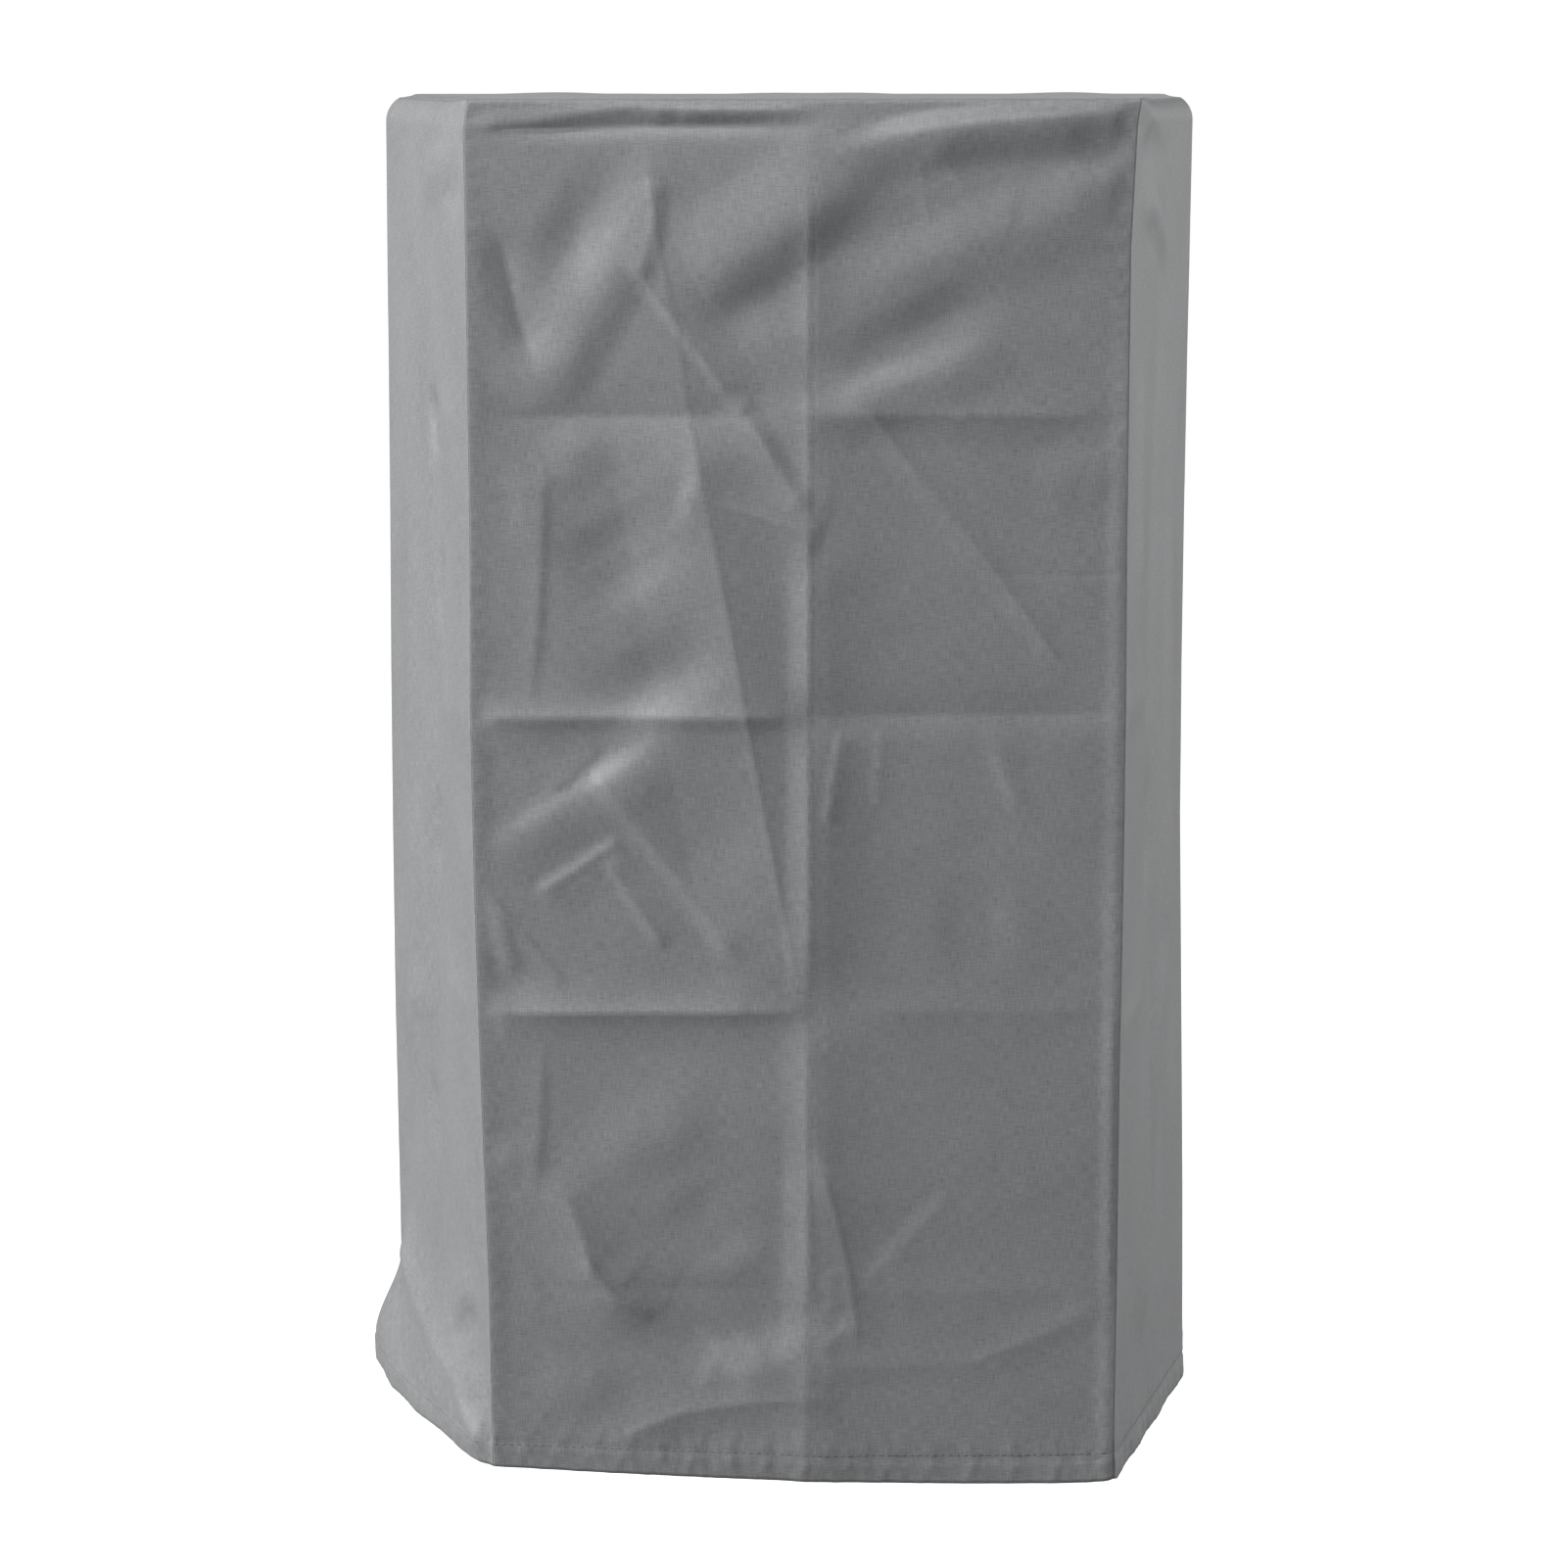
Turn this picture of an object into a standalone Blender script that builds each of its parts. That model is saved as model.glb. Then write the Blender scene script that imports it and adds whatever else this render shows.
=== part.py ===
"""Fitted cover for a wall charger: a tall cloth box, open at the bottom.

The cover hangs from its top. The origin is the middle of the top panel's underside, +Z is up
and the front faces -Y. Lengths in the tables are millimetres, and MM turns them into metres.
"""
from collections import namedtuple
import math

import bmesh
import bpy
import numpy as np

MM = 0.001

# Cloth and sewing
CLOTH = 1.2 * MM
HEM_CLOTH = 2.2 * MM
HEM_DEPTH = 14.5 * MM
SEAM_GAP = 0.3 * MM

# The box: depth, the height over which the shoulder turns, and the corner and shoulder radii
DEPTH = 191.0 * MM
SHOULDER_BAND = 20.0
HEM_BAND_TOP = 700.0
HEM_LEVEL = 750.0
FRONT_CORNER = 3.5 * MM
REAR_CORNER = 25.0 * MM
FRONT_SHOULDER = 3.0 * MM
REAR_SHOULDER = 14.0 * MM
SHOULDER_SPREAD = 0.35
SEAM_ANGLE = math.radians(60.0)

# Where the four upright corners stand at each level, before they are rounded. x from the middle.
Level = namedtuple("Level", "drop front_left front_right rear_left rear_right")
LEVELS = (
    Level(0.0, -170.5, 176.5, -235.5, 234.5),
    Level(14.0, -173.0, 174.5, -236.0, 235.0),
    Level(75.0, -173.0, 172.3, -237.0, 235.5),
    Level(230.0, -173.5, 173.3, -239.5, 236.0),
    Level(320.0, -175.0, 174.5, -241.0, 236.5),
    Level(413.0, -174.6, 175.0, -242.5, 238.0),
    Level(523.0, -173.0, 175.0, -244.0, 242.0),
    Level(640.0, -170.5, 175.8, -244.5, 246.0),
    Level(750.0, -170.0, 176.0, -245.0, 249.0),
)

# How far the hem hangs below the top at each upright corner, and in the middle of the front
HEM_FRONT_LEFT = 746.5
HEM_FRONT_RIGHT = 759.5
HEM_REAR_RIGHT = 757.0
HEM_REAR_LEFT = 741.0
HEM_FRONT_BELLY = 3.0

# A fold is a path across the cloth, x and z in millimetres. left and right are its widths on
# each side, going along the path, and rise is outward. A sharp fold comes to an edge, a soft one
# is round, and a facet is a sharp fold whose narrower side is flat.
Fold = namedtuple("Fold", "name kind rise left right path")
CENTRE_CREASE = 5.0

# The folds that packing left: one down the middle, and level ones that turn over at it
PACKING_FOLDS = (
    Fold("middle", "facet", 3.0, 168.0, 172.0, ((5, 4), (5, -765))),
    Fold("middle crest, top", "facet", 1.2, 30.0, 14.0, ((5, -40), (5, -226))),
    Fold("middle crest, second", "facet", 2.2, 50.0, 14.0, ((5, -216), (5, -328))),
    Fold("middle crest, third", "facet", 2.0, 50.0, 14.0, ((5, -316), (5, -492))),
    Fold("middle crest, low", "facet", 2.6, 50.0, 15.0, ((5, -482), (5, -790))),
    Fold("middle trough", "facet", -1.8, 14.0, 40.0, ((-9, -222), (-10, -790))),
    Fold("first level, left", "sharp", -2.4, 30.0, 24.0, ((-176, -162.5), (5, -161))),
    Fold("first level, right", "sharp", 2.6, 30.0, 22.0, ((-25, -161), (5, -161), (176, -162.5))),
    Fold("second level, left", "sharp", 4.4, 28.0, 24.0, ((-190, -322), (5, -321.5))),
    Fold("second level, right", "sharp", -1.9, 28.0, 20.0, ((-15, -321.5), (196, -322))),
    Fold("third level, left", "sharp", 4.2, 24.0, 28.0, ((-190, -484), (15, -484))),
    Fold("third level, right", "sharp", 1.0, 20.0, 20.0, ((5, -484), (186, -486))),
    Fold("fourth level, left", "sharp", -0.8, 18.0, 18.0, ((-172, -642), (5, -643))),
    Fold("fourth level, right", "sharp", 0.8, 18.0, 18.0, ((5, -643), (176, -644))),
)

# The folds of the front, from the top down
FRONT_FOLDS = PACKING_FOLDS + (
    Fold("top left crease", "sharp", -2.3, 14.0, 14.0, ((-190, -16), (-129, -15), (20, -12))),
    Fold("top right roll", "soft", 5.8, 12.0, 24.0, ((10, -34), (48, -19), (98, -12), (190, -8))),
    Fold("right sweep", "soft", 4.8, 40.0, 28.0, ((-72, -112), (-23, -74), (6, -54), (50, -26))),
    Fold("top left hollow", "sharp", -2.5, 34.0, 20.0, ((-168, -24), (-156, -62), (-139, -136))),
    Fold("upper left hollow", "soft", -2.0, 24.0, 22.0, ((-78, -20), (-118, -72), (-136, -108))),
    Fold("upper left roll", "soft", 2.6, 22.0, 30.0, ((-76, -54), (-100, -96), (-154, -164))),
    Fold("long diagonal, top", "facet", 1.9, 56.0, 40.0, ((-79, -14), (-75, -76), (-49, -211))),
    Fold("long diagonal", "facet", 3.5, 60.0, 44.0, ((-60, -157), (-36, -284), (2, -490))),
    Fold("cross facet", "facet", 2.3, 30.0, 24.0, ((-66, -202), (-48, -206), (16, -226))),
    Fold("right roll", "soft", 2.8, 26.0, 34.0, ((6, -112), (84, -76), (176, -46))),
    Fold("right hollow", "soft", -1.7, 20.0, 22.0, ((10, -140), (54, -122), (110, -96))),
    Fold("right lower roll", "soft", 2.3, 18.0, 22.0, ((2, -172), (39, -152), (116, -126))),
    Fold("right slant", "facet", 0.9, 18.0, 14.0, ((8, -129), (58, -188), (106, -249), (146, -304))),
    Fold("middle left valley", "soft", -2.4, 24.0, 26.0, ((-34, -270), (-65, -296), (-130, -314))),
    Fold("middle left hollow", "soft", -2.1, 40.0, 34.0, ((-110, -214), (-82, -262))),
    Fold("lower left roll", "soft", 2.3, 14.0, 30.0, ((-180, -404), (-116, -366), (-56, -326))),
    Fold("lower left swell", "soft", 3.2, 54.0, 36.0, ((-46, -312), (-66, -338), (-100, -404))),
    Fold("lower left ridge", "facet", 1.9, 50.0, 14.0, ((-114, -346), (-64, -412), (-30, -460))),
    Fold("lower left step", "facet", 1.4, 14.0, 24.0, ((-142, -420), (-118, -404), (-94, -388))),
    Fold("bottom left roll", "soft", 1.6, 34.0, 26.0, ((-120, -566), (-88, -560), (-40, -542))),
    Fold("bottom left ridge", "sharp", 4.2, 48.0, 34.0, ((-148, -566), (-118, -612), (-76, -660))),
    Fold("bottom left bowl", "soft", -3.6, 44.0, 26.0, ((-96, -654), (-54, -671), (12, -640))),
    Fold("bottom left hollow", "soft", -1.6, 30.0, 34.0, ((-66, -584), (-30, -630))),
    Fold("bottom left arc", "sharp", 2.2, 30.0, 24.0, ((-116, -738), (-67, -715), (26, -706))),
    Fold("bottom right crease", "facet", 0.9, 20.0, 14.0, ((6, -548), (22, -614), (34, -684))),
    Fold("bottom right arc", "facet", 0.8, 16.0, 14.0, ((4, -686), (96, -687), (178, -648))),
    Fold("edge roll", "soft", 1.8, 10.0, 14.0, ((162, -470), (164, -655))),
)
BACK_FOLDS = (
    Fold("back left roll", "soft", 3.0, 46.0, 46.0, ((120, -60), (90, -240))),
    Fold("back right hollow", "soft", -2.6, 50.0, 50.0, ((-100, -90), (-60, -260))),
    Fold("back slant", "sharp", 2.0, 40.0, 30.0, ((-150, -330), (-20, -470))),
    Fold("back low bowl", "soft", -4.0, 60.0, 60.0, ((90, -560), (60, -650))),
    Fold("back low roll", "soft", 3.0, 50.0, 50.0, ((-120, -560), (-90, -690))),
)
BACK_PACKING_SHARE = -0.6

# On a side panel x is measured from the front seam towards the back.
SIDE_LENGTH = 200.0
GUSSET_FOLDS = (
    Fold("gusset", "sharp", -2.6, 50.0, 60.0, ((104, -40), (84, -320), (104, -500), (100, -745))),
    Fold("gusset roll", "soft", 2.0, 30.0, 26.0, ((150, -90), (154, -640))),
)
LEFT_FOLDS = GUSSET_FOLDS + (
    Fold("flare crease", "facet", 5.0, 46.0, 34.0, ((-14, -742), (51, -709), (126, -692), (196, -652))),
    Fold("flare hollow", "soft", -2.4, 26.0, 26.0, ((16, -664), (50, -676), (66, -700))),
)
RIGHT_FOLDS = GUSSET_FOLDS + (
    Fold("rear slant", "facet", 2.2, 40.0, 34.0, ((138, -470), (118, -560), (102, -645), (73, -704))),
)
FLARE_RISE = 18.0
FLARE_TOP = 655.0
FLARE_ALONG_SIDE = 1.0
FLARE_ALONG_BACK = 0.6

# The front stands a little behind its upright seams
SEAM_STEP = 1.5
SEAM_STEP_REACH = 12.0

# How folds fade out: at their own ends, below the top seam and beside the upright seams
END_FADE = 0.3
TOP_HOLD = 6.0
SIDE_HOLD = 0.04
FIRST_RISE = 0.5

# The top dips and swells a little where it lies on its support
TOP_RIPPLE = 0.6 * MM
RIPPLE_ACROSS = 23.0
RIPPLE_ALONG = 31.0
RIPPLE_MARGIN_ACROSS = 0.2
RIPPLE_MARGIN_ALONG = 0.3

# The grid: how far apart its columns and rows stand, and the rows that lie on a fold
COLUMN_STEP = 15.0
ROW_STEP = 17.5
CREST = 14.0
SIDE_SPANS = 7
REAR_CORNER_SPANS = 3
SHOULDER_ROWS = (0.0, 3.0, 7.0, 12.0, 16.0, SHOULDER_BAND)
LEVEL_FOLDS = (162.0, 321.5, 484.0, 643.0)
BESIDE_FOLD = 11.0
HEM_STEP = 1.5

FRONT, RIGHT, BACK, LEFT = range(4)
SHADE = (0.205, 0.210, 0.216, 1.0)
ROUGHNESS = 0.62


def smooth(value):
    """Ease from 0 to 1."""
    v = np.clip(value, 0.0, 1.0)
    return v * v * (3.0 - 2.0 * v)


def fold_lift(fold, x, z):
    """Outward rise in millimetres that one fold gives at x, z."""
    along = np.zeros_like(x)
    offset = np.full_like(x, np.inf)
    travelled = 0.0
    for (ax, az), (bx, bz) in zip(fold.path, fold.path[1:]):
        length = math.hypot(bx - ax, bz - az)
        ux, uz = (bx - ax) / length, (bz - az) / length
        t = np.clip((x - ax) * ux + (z - az) * uz, 0.0, length)
        dx, dz = x - ax - t * ux, z - az - t * uz
        distance = np.hypot(dx, dz)
        side = np.where(ux * dz - uz * dx >= 0.0, 1.0, -1.0)
        nearer = distance < np.abs(offset)
        along = np.where(nearer, travelled + t, along)
        offset = np.where(nearer, side * distance, offset)
        travelled += length
    width = np.where(offset >= 0.0, fold.left, fold.right)
    reach = np.clip(1.0 - np.abs(offset) / width, 0.0, 1.0)
    profile = smooth(reach) if fold.kind == "soft" else reach * reach
    if fold.kind == "facet":
        profile = np.where(width <= min(fold.left, fold.right), reach, profile)
    fade = END_FADE * travelled
    return fold.rise * profile * smooth(along / fade) * smooth((travelled - along) / fade)


def panel_lift(side, x, z, across):
    """How far the cloth stands out from the plain box, in metres; nothing at the seams."""
    folds = {FRONT: FRONT_FOLDS, RIGHT: RIGHT_FOLDS, BACK: BACK_FOLDS, LEFT: LEFT_FOLDS}[side]
    lift = sum(fold_lift(fold, x, z) for fold in folds)
    if side == BACK:
        lift = lift + BACK_PACKING_SHARE * sum(fold_lift(fold, x, z) for fold in PACKING_FOLDS)
    hold_top = smooth((-z - FIRST_RISE) / TOP_HOLD)
    hold_sides = smooth((across - 1.0) / SIDE_HOLD) * smooth((2.0 - across) / SIDE_HOLD)
    lift = lift * hold_sides
    if side == FRONT:
        width = LEVELS[3].front_right - LEVELS[3].front_left
        from_seam = np.minimum(across - 1.0, 2.0 - across) * width
        lift = lift - SEAM_STEP * smooth(from_seam / SEAM_STEP_REACH)
    return lift * hold_top * MM


def flare_lift(side, across, z):
    """The lower left rear corner kicks outward where the cloth was folded."""
    if side not in (BACK, LEFT):
        return np.zeros_like(z)
    low = smooth((-z - FLARE_TOP) / (HEM_LEVEL - FLARE_TOP))
    from_corner = across / 3.0 if side == LEFT else (3.0 - across) / 3.0
    reach = FLARE_ALONG_SIDE if side == LEFT else FLARE_ALONG_BACK
    return FLARE_RISE * MM * low * smooth(1.0 - from_corner / reach)


def corners(drop):
    """The four sharp plan corners at each drop, front left first, anticlockwise from above."""
    drops = [row.drop for row in LEVELS]
    names = ("front_left", "front_right", "rear_right", "rear_left")
    half = DEPTH / 2.0
    depths = (-half, -half, half, half)
    places = []
    for name, y in zip(names, depths):
        x = np.interp(drop, drops, [getattr(row, name) for row in LEVELS]) * MM
        places.append(np.stack([x, np.full_like(x, y)], axis=-1))
    return places


def hem_drop(side, across):
    """How far the hem hangs below the top, in millimetres."""
    ends = (HEM_FRONT_LEFT, HEM_FRONT_RIGHT, HEM_REAR_RIGHT, HEM_REAR_LEFT)
    t = across / 3.0
    belly = HEM_FRONT_BELLY * np.sin(math.pi * t) if side == FRONT else 0.0
    return ends[side] * (1.0 - t) + ends[(side + 1) % 4] * t + belly


def shoulder_radius(side, across):
    """Tight along the front edge, round at the sides and the back."""
    if side == FRONT:
        return np.full_like(across, FRONT_SHOULDER)
    if side == BACK:
        return np.full_like(across, REAR_SHOULDER)
    t = np.clip(across - 1.0, 0.0, 1.0)
    from_front = t if side == RIGHT else 1.0 - t
    return FRONT_SHOULDER + (REAR_SHOULDER - FRONT_SHOULDER) * smooth(from_front / SHOULDER_SPREAD)


def wall(side, across, drop):
    """Outer surface of the walls: place, outward normal, tangent along the panel, tangent up."""
    places = corners(drop)
    start, end = places[side], places[(side + 1) % 4]
    before, after = places[(side - 1) % 4], places[(side + 2) % 4]
    radii = (FRONT_CORNER, FRONT_CORNER, REAR_CORNER, REAR_CORNER)

    def unit(a, b):
        return (b - a) / np.linalg.norm(b - a, axis=-1, keepdims=True)

    run = unit(start, end)
    turn_in = np.arccos(np.clip(np.sum(unit(before, start) * run, axis=-1), -1.0, 1.0))
    turn_out = np.arccos(np.clip(np.sum(run * unit(end, after), axis=-1), -1.0, 1.0))
    out = np.stack([run[..., 1], -run[..., 0]], axis=-1)
    r_in, r_out = radii[side], radii[(side + 1) % 4]
    first = start + run * (r_in * np.tan(turn_in / 2.0))[..., None]
    last = end - run * (r_out * np.tan(turn_out / 2.0))[..., None]
    lead_in = np.clip(1.0 - across, 0.0, 1.0)
    lead_out = np.clip(across - 2.0, 0.0, 1.0)
    angle = (lead_out * turn_out - lead_in * turn_in) / 2.0
    cos, sin = np.cos(angle)[..., None], np.sin(angle)[..., None]
    normal = out * cos + run * sin
    radius = np.where(across < 1.5, r_in, r_out)[..., None]
    base = first + (last - first) * np.clip(across - 1.0, 0.0, 1.0)[..., None]
    plan = base + (normal - out) * radius

    r = shoulder_radius(side, across)
    straight = SHOULDER_BAND * MM + CLOTH - r
    path = straight + r * SEAM_ANGLE
    climbed = np.clip(1.0 - drop / SHOULDER_BAND, 0.0, 1.0) * path
    tilt = np.clip((climbed - straight) / r, 0.0, SEAM_ANGLE)
    inset = r * (1.0 - np.cos(tilt))
    z = -SHOULDER_BAND * MM + np.minimum(climbed, straight) + r * np.sin(tilt)
    hem = hem_drop(side, across)
    stretched = HEM_BAND_TOP + (drop - HEM_BAND_TOP) * (hem - HEM_BAND_TOP) / (HEM_LEVEL - HEM_BAND_TOP)
    z = np.where(drop <= SHOULDER_BAND, z, -np.where(drop > HEM_BAND_TOP, stretched, drop) * MM)

    x_along = plan[..., 0] / MM
    if side in (RIGHT, LEFT):
        t = np.clip(across - 1.0, 0.0, 1.0)
        x_along = SIDE_LENGTH * (t if side == RIGHT else 1.0 - t)
    lift = panel_lift(side, x_along, z / MM, across) + flare_lift(side, across, z / MM)
    plan = plan + normal * (lift - inset)[..., None]
    place = np.concatenate([plan, z[..., None]], axis=-1)
    flat = np.concatenate([normal, np.zeros_like(z)[..., None]], axis=-1)
    up = np.zeros_like(place)
    up[..., 2] = 1.0
    lean, rise = np.sin(tilt)[..., None], np.cos(tilt)[..., None]
    along = np.stack([-normal[..., 1], normal[..., 0], np.zeros_like(z)], axis=-1)
    return place, flat * rise + up * lean, along, up * rise - flat * lean


def stations(stops, step):
    """Evenly spaced places between fixed stops, about a step apart."""
    places = [stops[0]]
    for low, high in zip(stops, stops[1:]):
        count = max(1, round((high - low) / step))
        places += list(np.linspace(low, high, count + 1)[1:])
    return np.array(places)


def columns(side):
    """Places of the grid's columns across one panel, in thirds: its two half corners are the ends."""
    low, high = LEVELS[3].front_left, LEVELS[3].front_right
    stops = (low, CENTRE_CREASE - CREST, CENTRE_CREASE, CENTRE_CREASE + CREST, high)
    middle = 1.0 + (stations(stops, COLUMN_STEP) - low) / (high - low)
    if side == FRONT:
        return np.array([0.0, *middle, 3.0])
    rear = np.linspace(0.0, 1.0, REAR_CORNER_SPANS + 1)
    if side == BACK:
        spans = len(middle) + 1 - 2 * REAR_CORNER_SPANS
        return np.concatenate([rear, np.linspace(1.0, 2.0, spans + 1)[1:], 2.0 + rear[1:]])
    across = np.linspace(1.0, 2.0, SIDE_SPANS + 1)
    if side == RIGHT:
        return np.concatenate([[0.0], across, 2.0 + rear[1:]])
    return np.concatenate([rear, across[1:], [3.0]])


def rows():
    """Drops of the grid's rows, close together at the shoulder, the level folds and the hem."""
    stops = [SHOULDER_BAND]
    for level in LEVEL_FOLDS:
        stops += [level - BESIDE_FOLD, level, level + BESIDE_FOLD]
    hem_line = HEM_LEVEL - HEM_DEPTH / MM
    stops += [HEM_BAND_TOP, hem_line - HEM_STEP, hem_line, HEM_LEVEL]
    return np.concatenate([SHOULDER_ROWS, stations(stops, ROW_STEP)[1:]])


def material(name):
    """Coated woven polyester, plain grey."""
    cloth = bpy.data.materials.new(name)
    cloth.use_nodes = True
    shader = cloth.node_tree.nodes["Principled BSDF"]
    shader.inputs["Base Color"].default_value = SHADE
    shader.inputs["Roughness"].default_value = ROUGHNESS
    shader.inputs["Metallic"].default_value = 0.0
    cloth.diffuse_color = SHADE
    return cloth


def cloth_solid(name, outer, normals, thickness):
    """A sheet with its outer face on a grid of places, and its inner face a thickness inside."""
    row_count, column_count = outer.shape[:2]
    mesh = bmesh.new()
    rims = []
    for places, facing_out in ((outer, True), (outer - normals * thickness[..., None], False)):
        made = bmesh.ops.create_grid(mesh, x_segments=column_count - 1, y_segments=row_count - 1, size=1.0)
        for index, vertex in enumerate(made["verts"]):
            vertex.co = places[index // column_count, index % column_count]
        faces = {face for vertex in made["verts"] for face in vertex.link_faces}
        if not facing_out:
            bmesh.ops.reverse_faces(mesh, faces=list(faces))
        rims += [edge for edge in {e for face in faces for e in face.edges} if edge.is_boundary]
    bmesh.ops.bridge_loops(mesh, edges=rims)
    bmesh.ops.triangulate(mesh, faces=mesh.faces[:])
    bmesh.ops.recalc_face_normals(mesh, faces=mesh.faces[:])
    data = bpy.data.meshes.new(name)
    mesh.to_mesh(data)
    mesh.free()
    data.shade_smooth()
    data.set_sharp_from_angle(angle=math.radians(40.0))
    data.materials.append(material(name + "_cloth"))
    piece = bpy.data.objects.new(name, data)
    bpy.context.collection.objects.link(piece)
    return piece


def wall_grid(sides):
    """Places, normals and thickness for one length of wall cloth that covers these sides."""
    drops = rows()
    parts = []
    for side in sides:
        across = columns(side)
        across = across if side == sides[0] else across[1:]
        grid = np.meshgrid(across, drops)
        parts.append(wall(side, *grid))
    place, normal, along, up = (np.concatenate(field, axis=1) for field in zip(*parts))
    place[:, 0] += along[:, 0] * SEAM_GAP / 2.0
    place[:, -1] -= along[:, -1] * SEAM_GAP / 2.0
    place[0] -= up[0] * SEAM_GAP / 2.0
    thickness = np.full(place.shape[:2], CLOTH)
    thickness[drops >= HEM_LEVEL - HEM_DEPTH / MM] = HEM_CLOTH
    return place, normal, thickness


def top_grid():
    """Places and normals of the top: its edge follows the walls, and it lies flat inside."""
    edges, facing = [], []
    for side in (FRONT, RIGHT, BACK, LEFT):
        across = columns(side)
        place, normal, _, up = wall(side, across, np.zeros_like(across))
        edges.append(place + up * SEAM_GAP / 2.0)
        facing.append(normal)
    front, right, back, left = edges[0], edges[1], edges[2][::-1], edges[3][::-1]

    def share(line):
        steps = np.linalg.norm(np.diff(line, axis=0), axis=1)
        return np.concatenate([[0.0], np.cumsum(steps)]) / steps.sum()

    a = ((share(front) + share(back)) / 2.0)[None, :, None]
    b = ((share(left) + share(right)) / 2.0)[:, None, None]
    place = (1 - b) * front[None] + b * back[None] + (1 - a) * left[:, None] + a * right[:, None]
    place -= (1 - a) * (1 - b) * front[0] + a * (1 - b) * front[-1]
    place -= (1 - a) * b * back[0] + a * b * back[-1]
    wave_across = np.sin(place[..., 0] / MM / RIPPLE_ACROSS + 1.0)
    wave_along = np.sin(place[..., 1] / MM / RIPPLE_ALONG)
    inside = smooth(np.minimum(b, 1 - b) / RIPPLE_MARGIN_ALONG)[..., 0]
    inside = inside * smooth(np.minimum(a, 1 - a) / RIPPLE_MARGIN_ACROSS)[..., 0]
    edge_heights = place[..., 2].copy()
    place[..., 2] = CLOTH + TOP_RIPPLE * (1.0 + wave_across * wave_along) * inside
    normal = np.zeros_like(place)
    normal[..., 2] = 1.0
    every = slice(None)
    rims = ((0, every), (every, -1), (-1, every), (every, 0))
    for line, outward in zip(rims, (facing[0], facing[1], facing[2][::-1], facing[3][::-1])):
        place[line + (2,)] = edge_heights[line]
        normal[line] = outward
    return place, normal, np.full(place.shape[:2], CLOTH)


for old in list(bpy.data.objects):
    bpy.data.objects.remove(old, do_unlink=True)

cloth_solid("front_panel", *wall_grid((FRONT,)))
cloth_solid("side_back_wrap", *wall_grid((RIGHT, BACK, LEFT)))
cloth_solid("top_panel", *top_grid())
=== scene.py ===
# %% [markdown]
# A fitted cover for a wall charger: a tall box of coated grey polyester that hangs from its
# top, open at the bottom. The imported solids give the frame. The cloth that shows is made here
# on the same folds, with the fine creases, puckers, stitches and weave that solids leave out.

# %% Load the frame
import math
from collections import namedtuple

import bmesh
import bpy
import numpy as np
from mathutils import Matrix, Vector


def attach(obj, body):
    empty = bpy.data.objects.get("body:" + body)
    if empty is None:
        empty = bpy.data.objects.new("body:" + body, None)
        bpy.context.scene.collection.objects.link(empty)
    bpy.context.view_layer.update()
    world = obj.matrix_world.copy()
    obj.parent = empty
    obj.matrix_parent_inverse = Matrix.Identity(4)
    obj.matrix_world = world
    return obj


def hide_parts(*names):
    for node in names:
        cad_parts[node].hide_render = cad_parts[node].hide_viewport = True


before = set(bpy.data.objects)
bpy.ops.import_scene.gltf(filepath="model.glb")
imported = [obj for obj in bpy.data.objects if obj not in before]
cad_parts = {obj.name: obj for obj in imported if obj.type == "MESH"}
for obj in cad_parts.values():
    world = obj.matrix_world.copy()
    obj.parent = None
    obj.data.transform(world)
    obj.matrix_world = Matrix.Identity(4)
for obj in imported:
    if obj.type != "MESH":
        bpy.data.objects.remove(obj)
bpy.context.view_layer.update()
MM = 0.001

# %% [markdown]
# The camera comes first. The photograph was taken a little above the top edge, looking down
# by about twelve degrees, from nearly two metres away: the front edges draw together towards
# the hem, and both side panels show because the cover is wider at the back.

# %% Camera
PHOTO_SIDE = 1601
FOCAL_PX = 3566.0
SENSOR_MM = 36.0
EYE = Vector((-0.055, -1.922, 0.025))
PITCH_DOWN = math.radians(11.86)
YAW_RIGHT = math.radians(1.47)

lens = bpy.data.cameras.new("photo_camera")
lens.sensor_width = SENSOR_MM
lens.lens = FOCAL_PX / PHOTO_SIDE * SENSOR_MM
lens.clip_start = 0.05
camera = bpy.data.objects.new("photo_camera", lens)
camera.location = EYE
camera.rotation_euler = (math.radians(90.0) - PITCH_DOWN, 0.0, -YAW_RIGHT)
bpy.context.collection.objects.link(camera)
bpy.context.scene.camera = camera
print("lens", round(lens.lens, 1), "mm")

# %% [markdown]
# The cover's own sizes are the ones its solids have. Tables are in millimetres, with z going
# down from the top, and every upright corner has its place at each level, because cloth
# never hangs as a true box.

# %% Sizes of the cover
CLOTH = 0.7 * MM
DEPTH = 191.0 * MM
TOP_SKIN = 1.2 * MM
SHOULDER_BAND = 20.0
HEM_BAND_TOP = 700.0
HEM_LEVEL = 750.0
HEM_DEPTH = 14.5
FRONT_CORNER = 1.4 * MM
REAR_CORNER = 25.0 * MM
FRONT_SHOULDER = 2.4 * MM
REAR_SHOULDER = 14.0 * MM
SHOULDER_SPREAD = 0.35
SEAM_ANGLE = math.radians(60.0)
SEAM_GAP = 0.3 * MM
SIDE_LENGTH = 200.0
HEM_FRONT_LEFT = 745.5
HEM_FRONT_RIGHT = 759.5
HEM_REAR_RIGHT = 759.0
HEM_REAR_LEFT = 742.0
HEM_FRONT_BELLY = 3.5
HEM_CORNER = 2.5
HEM_CORNER_REACH = 0.03

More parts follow.
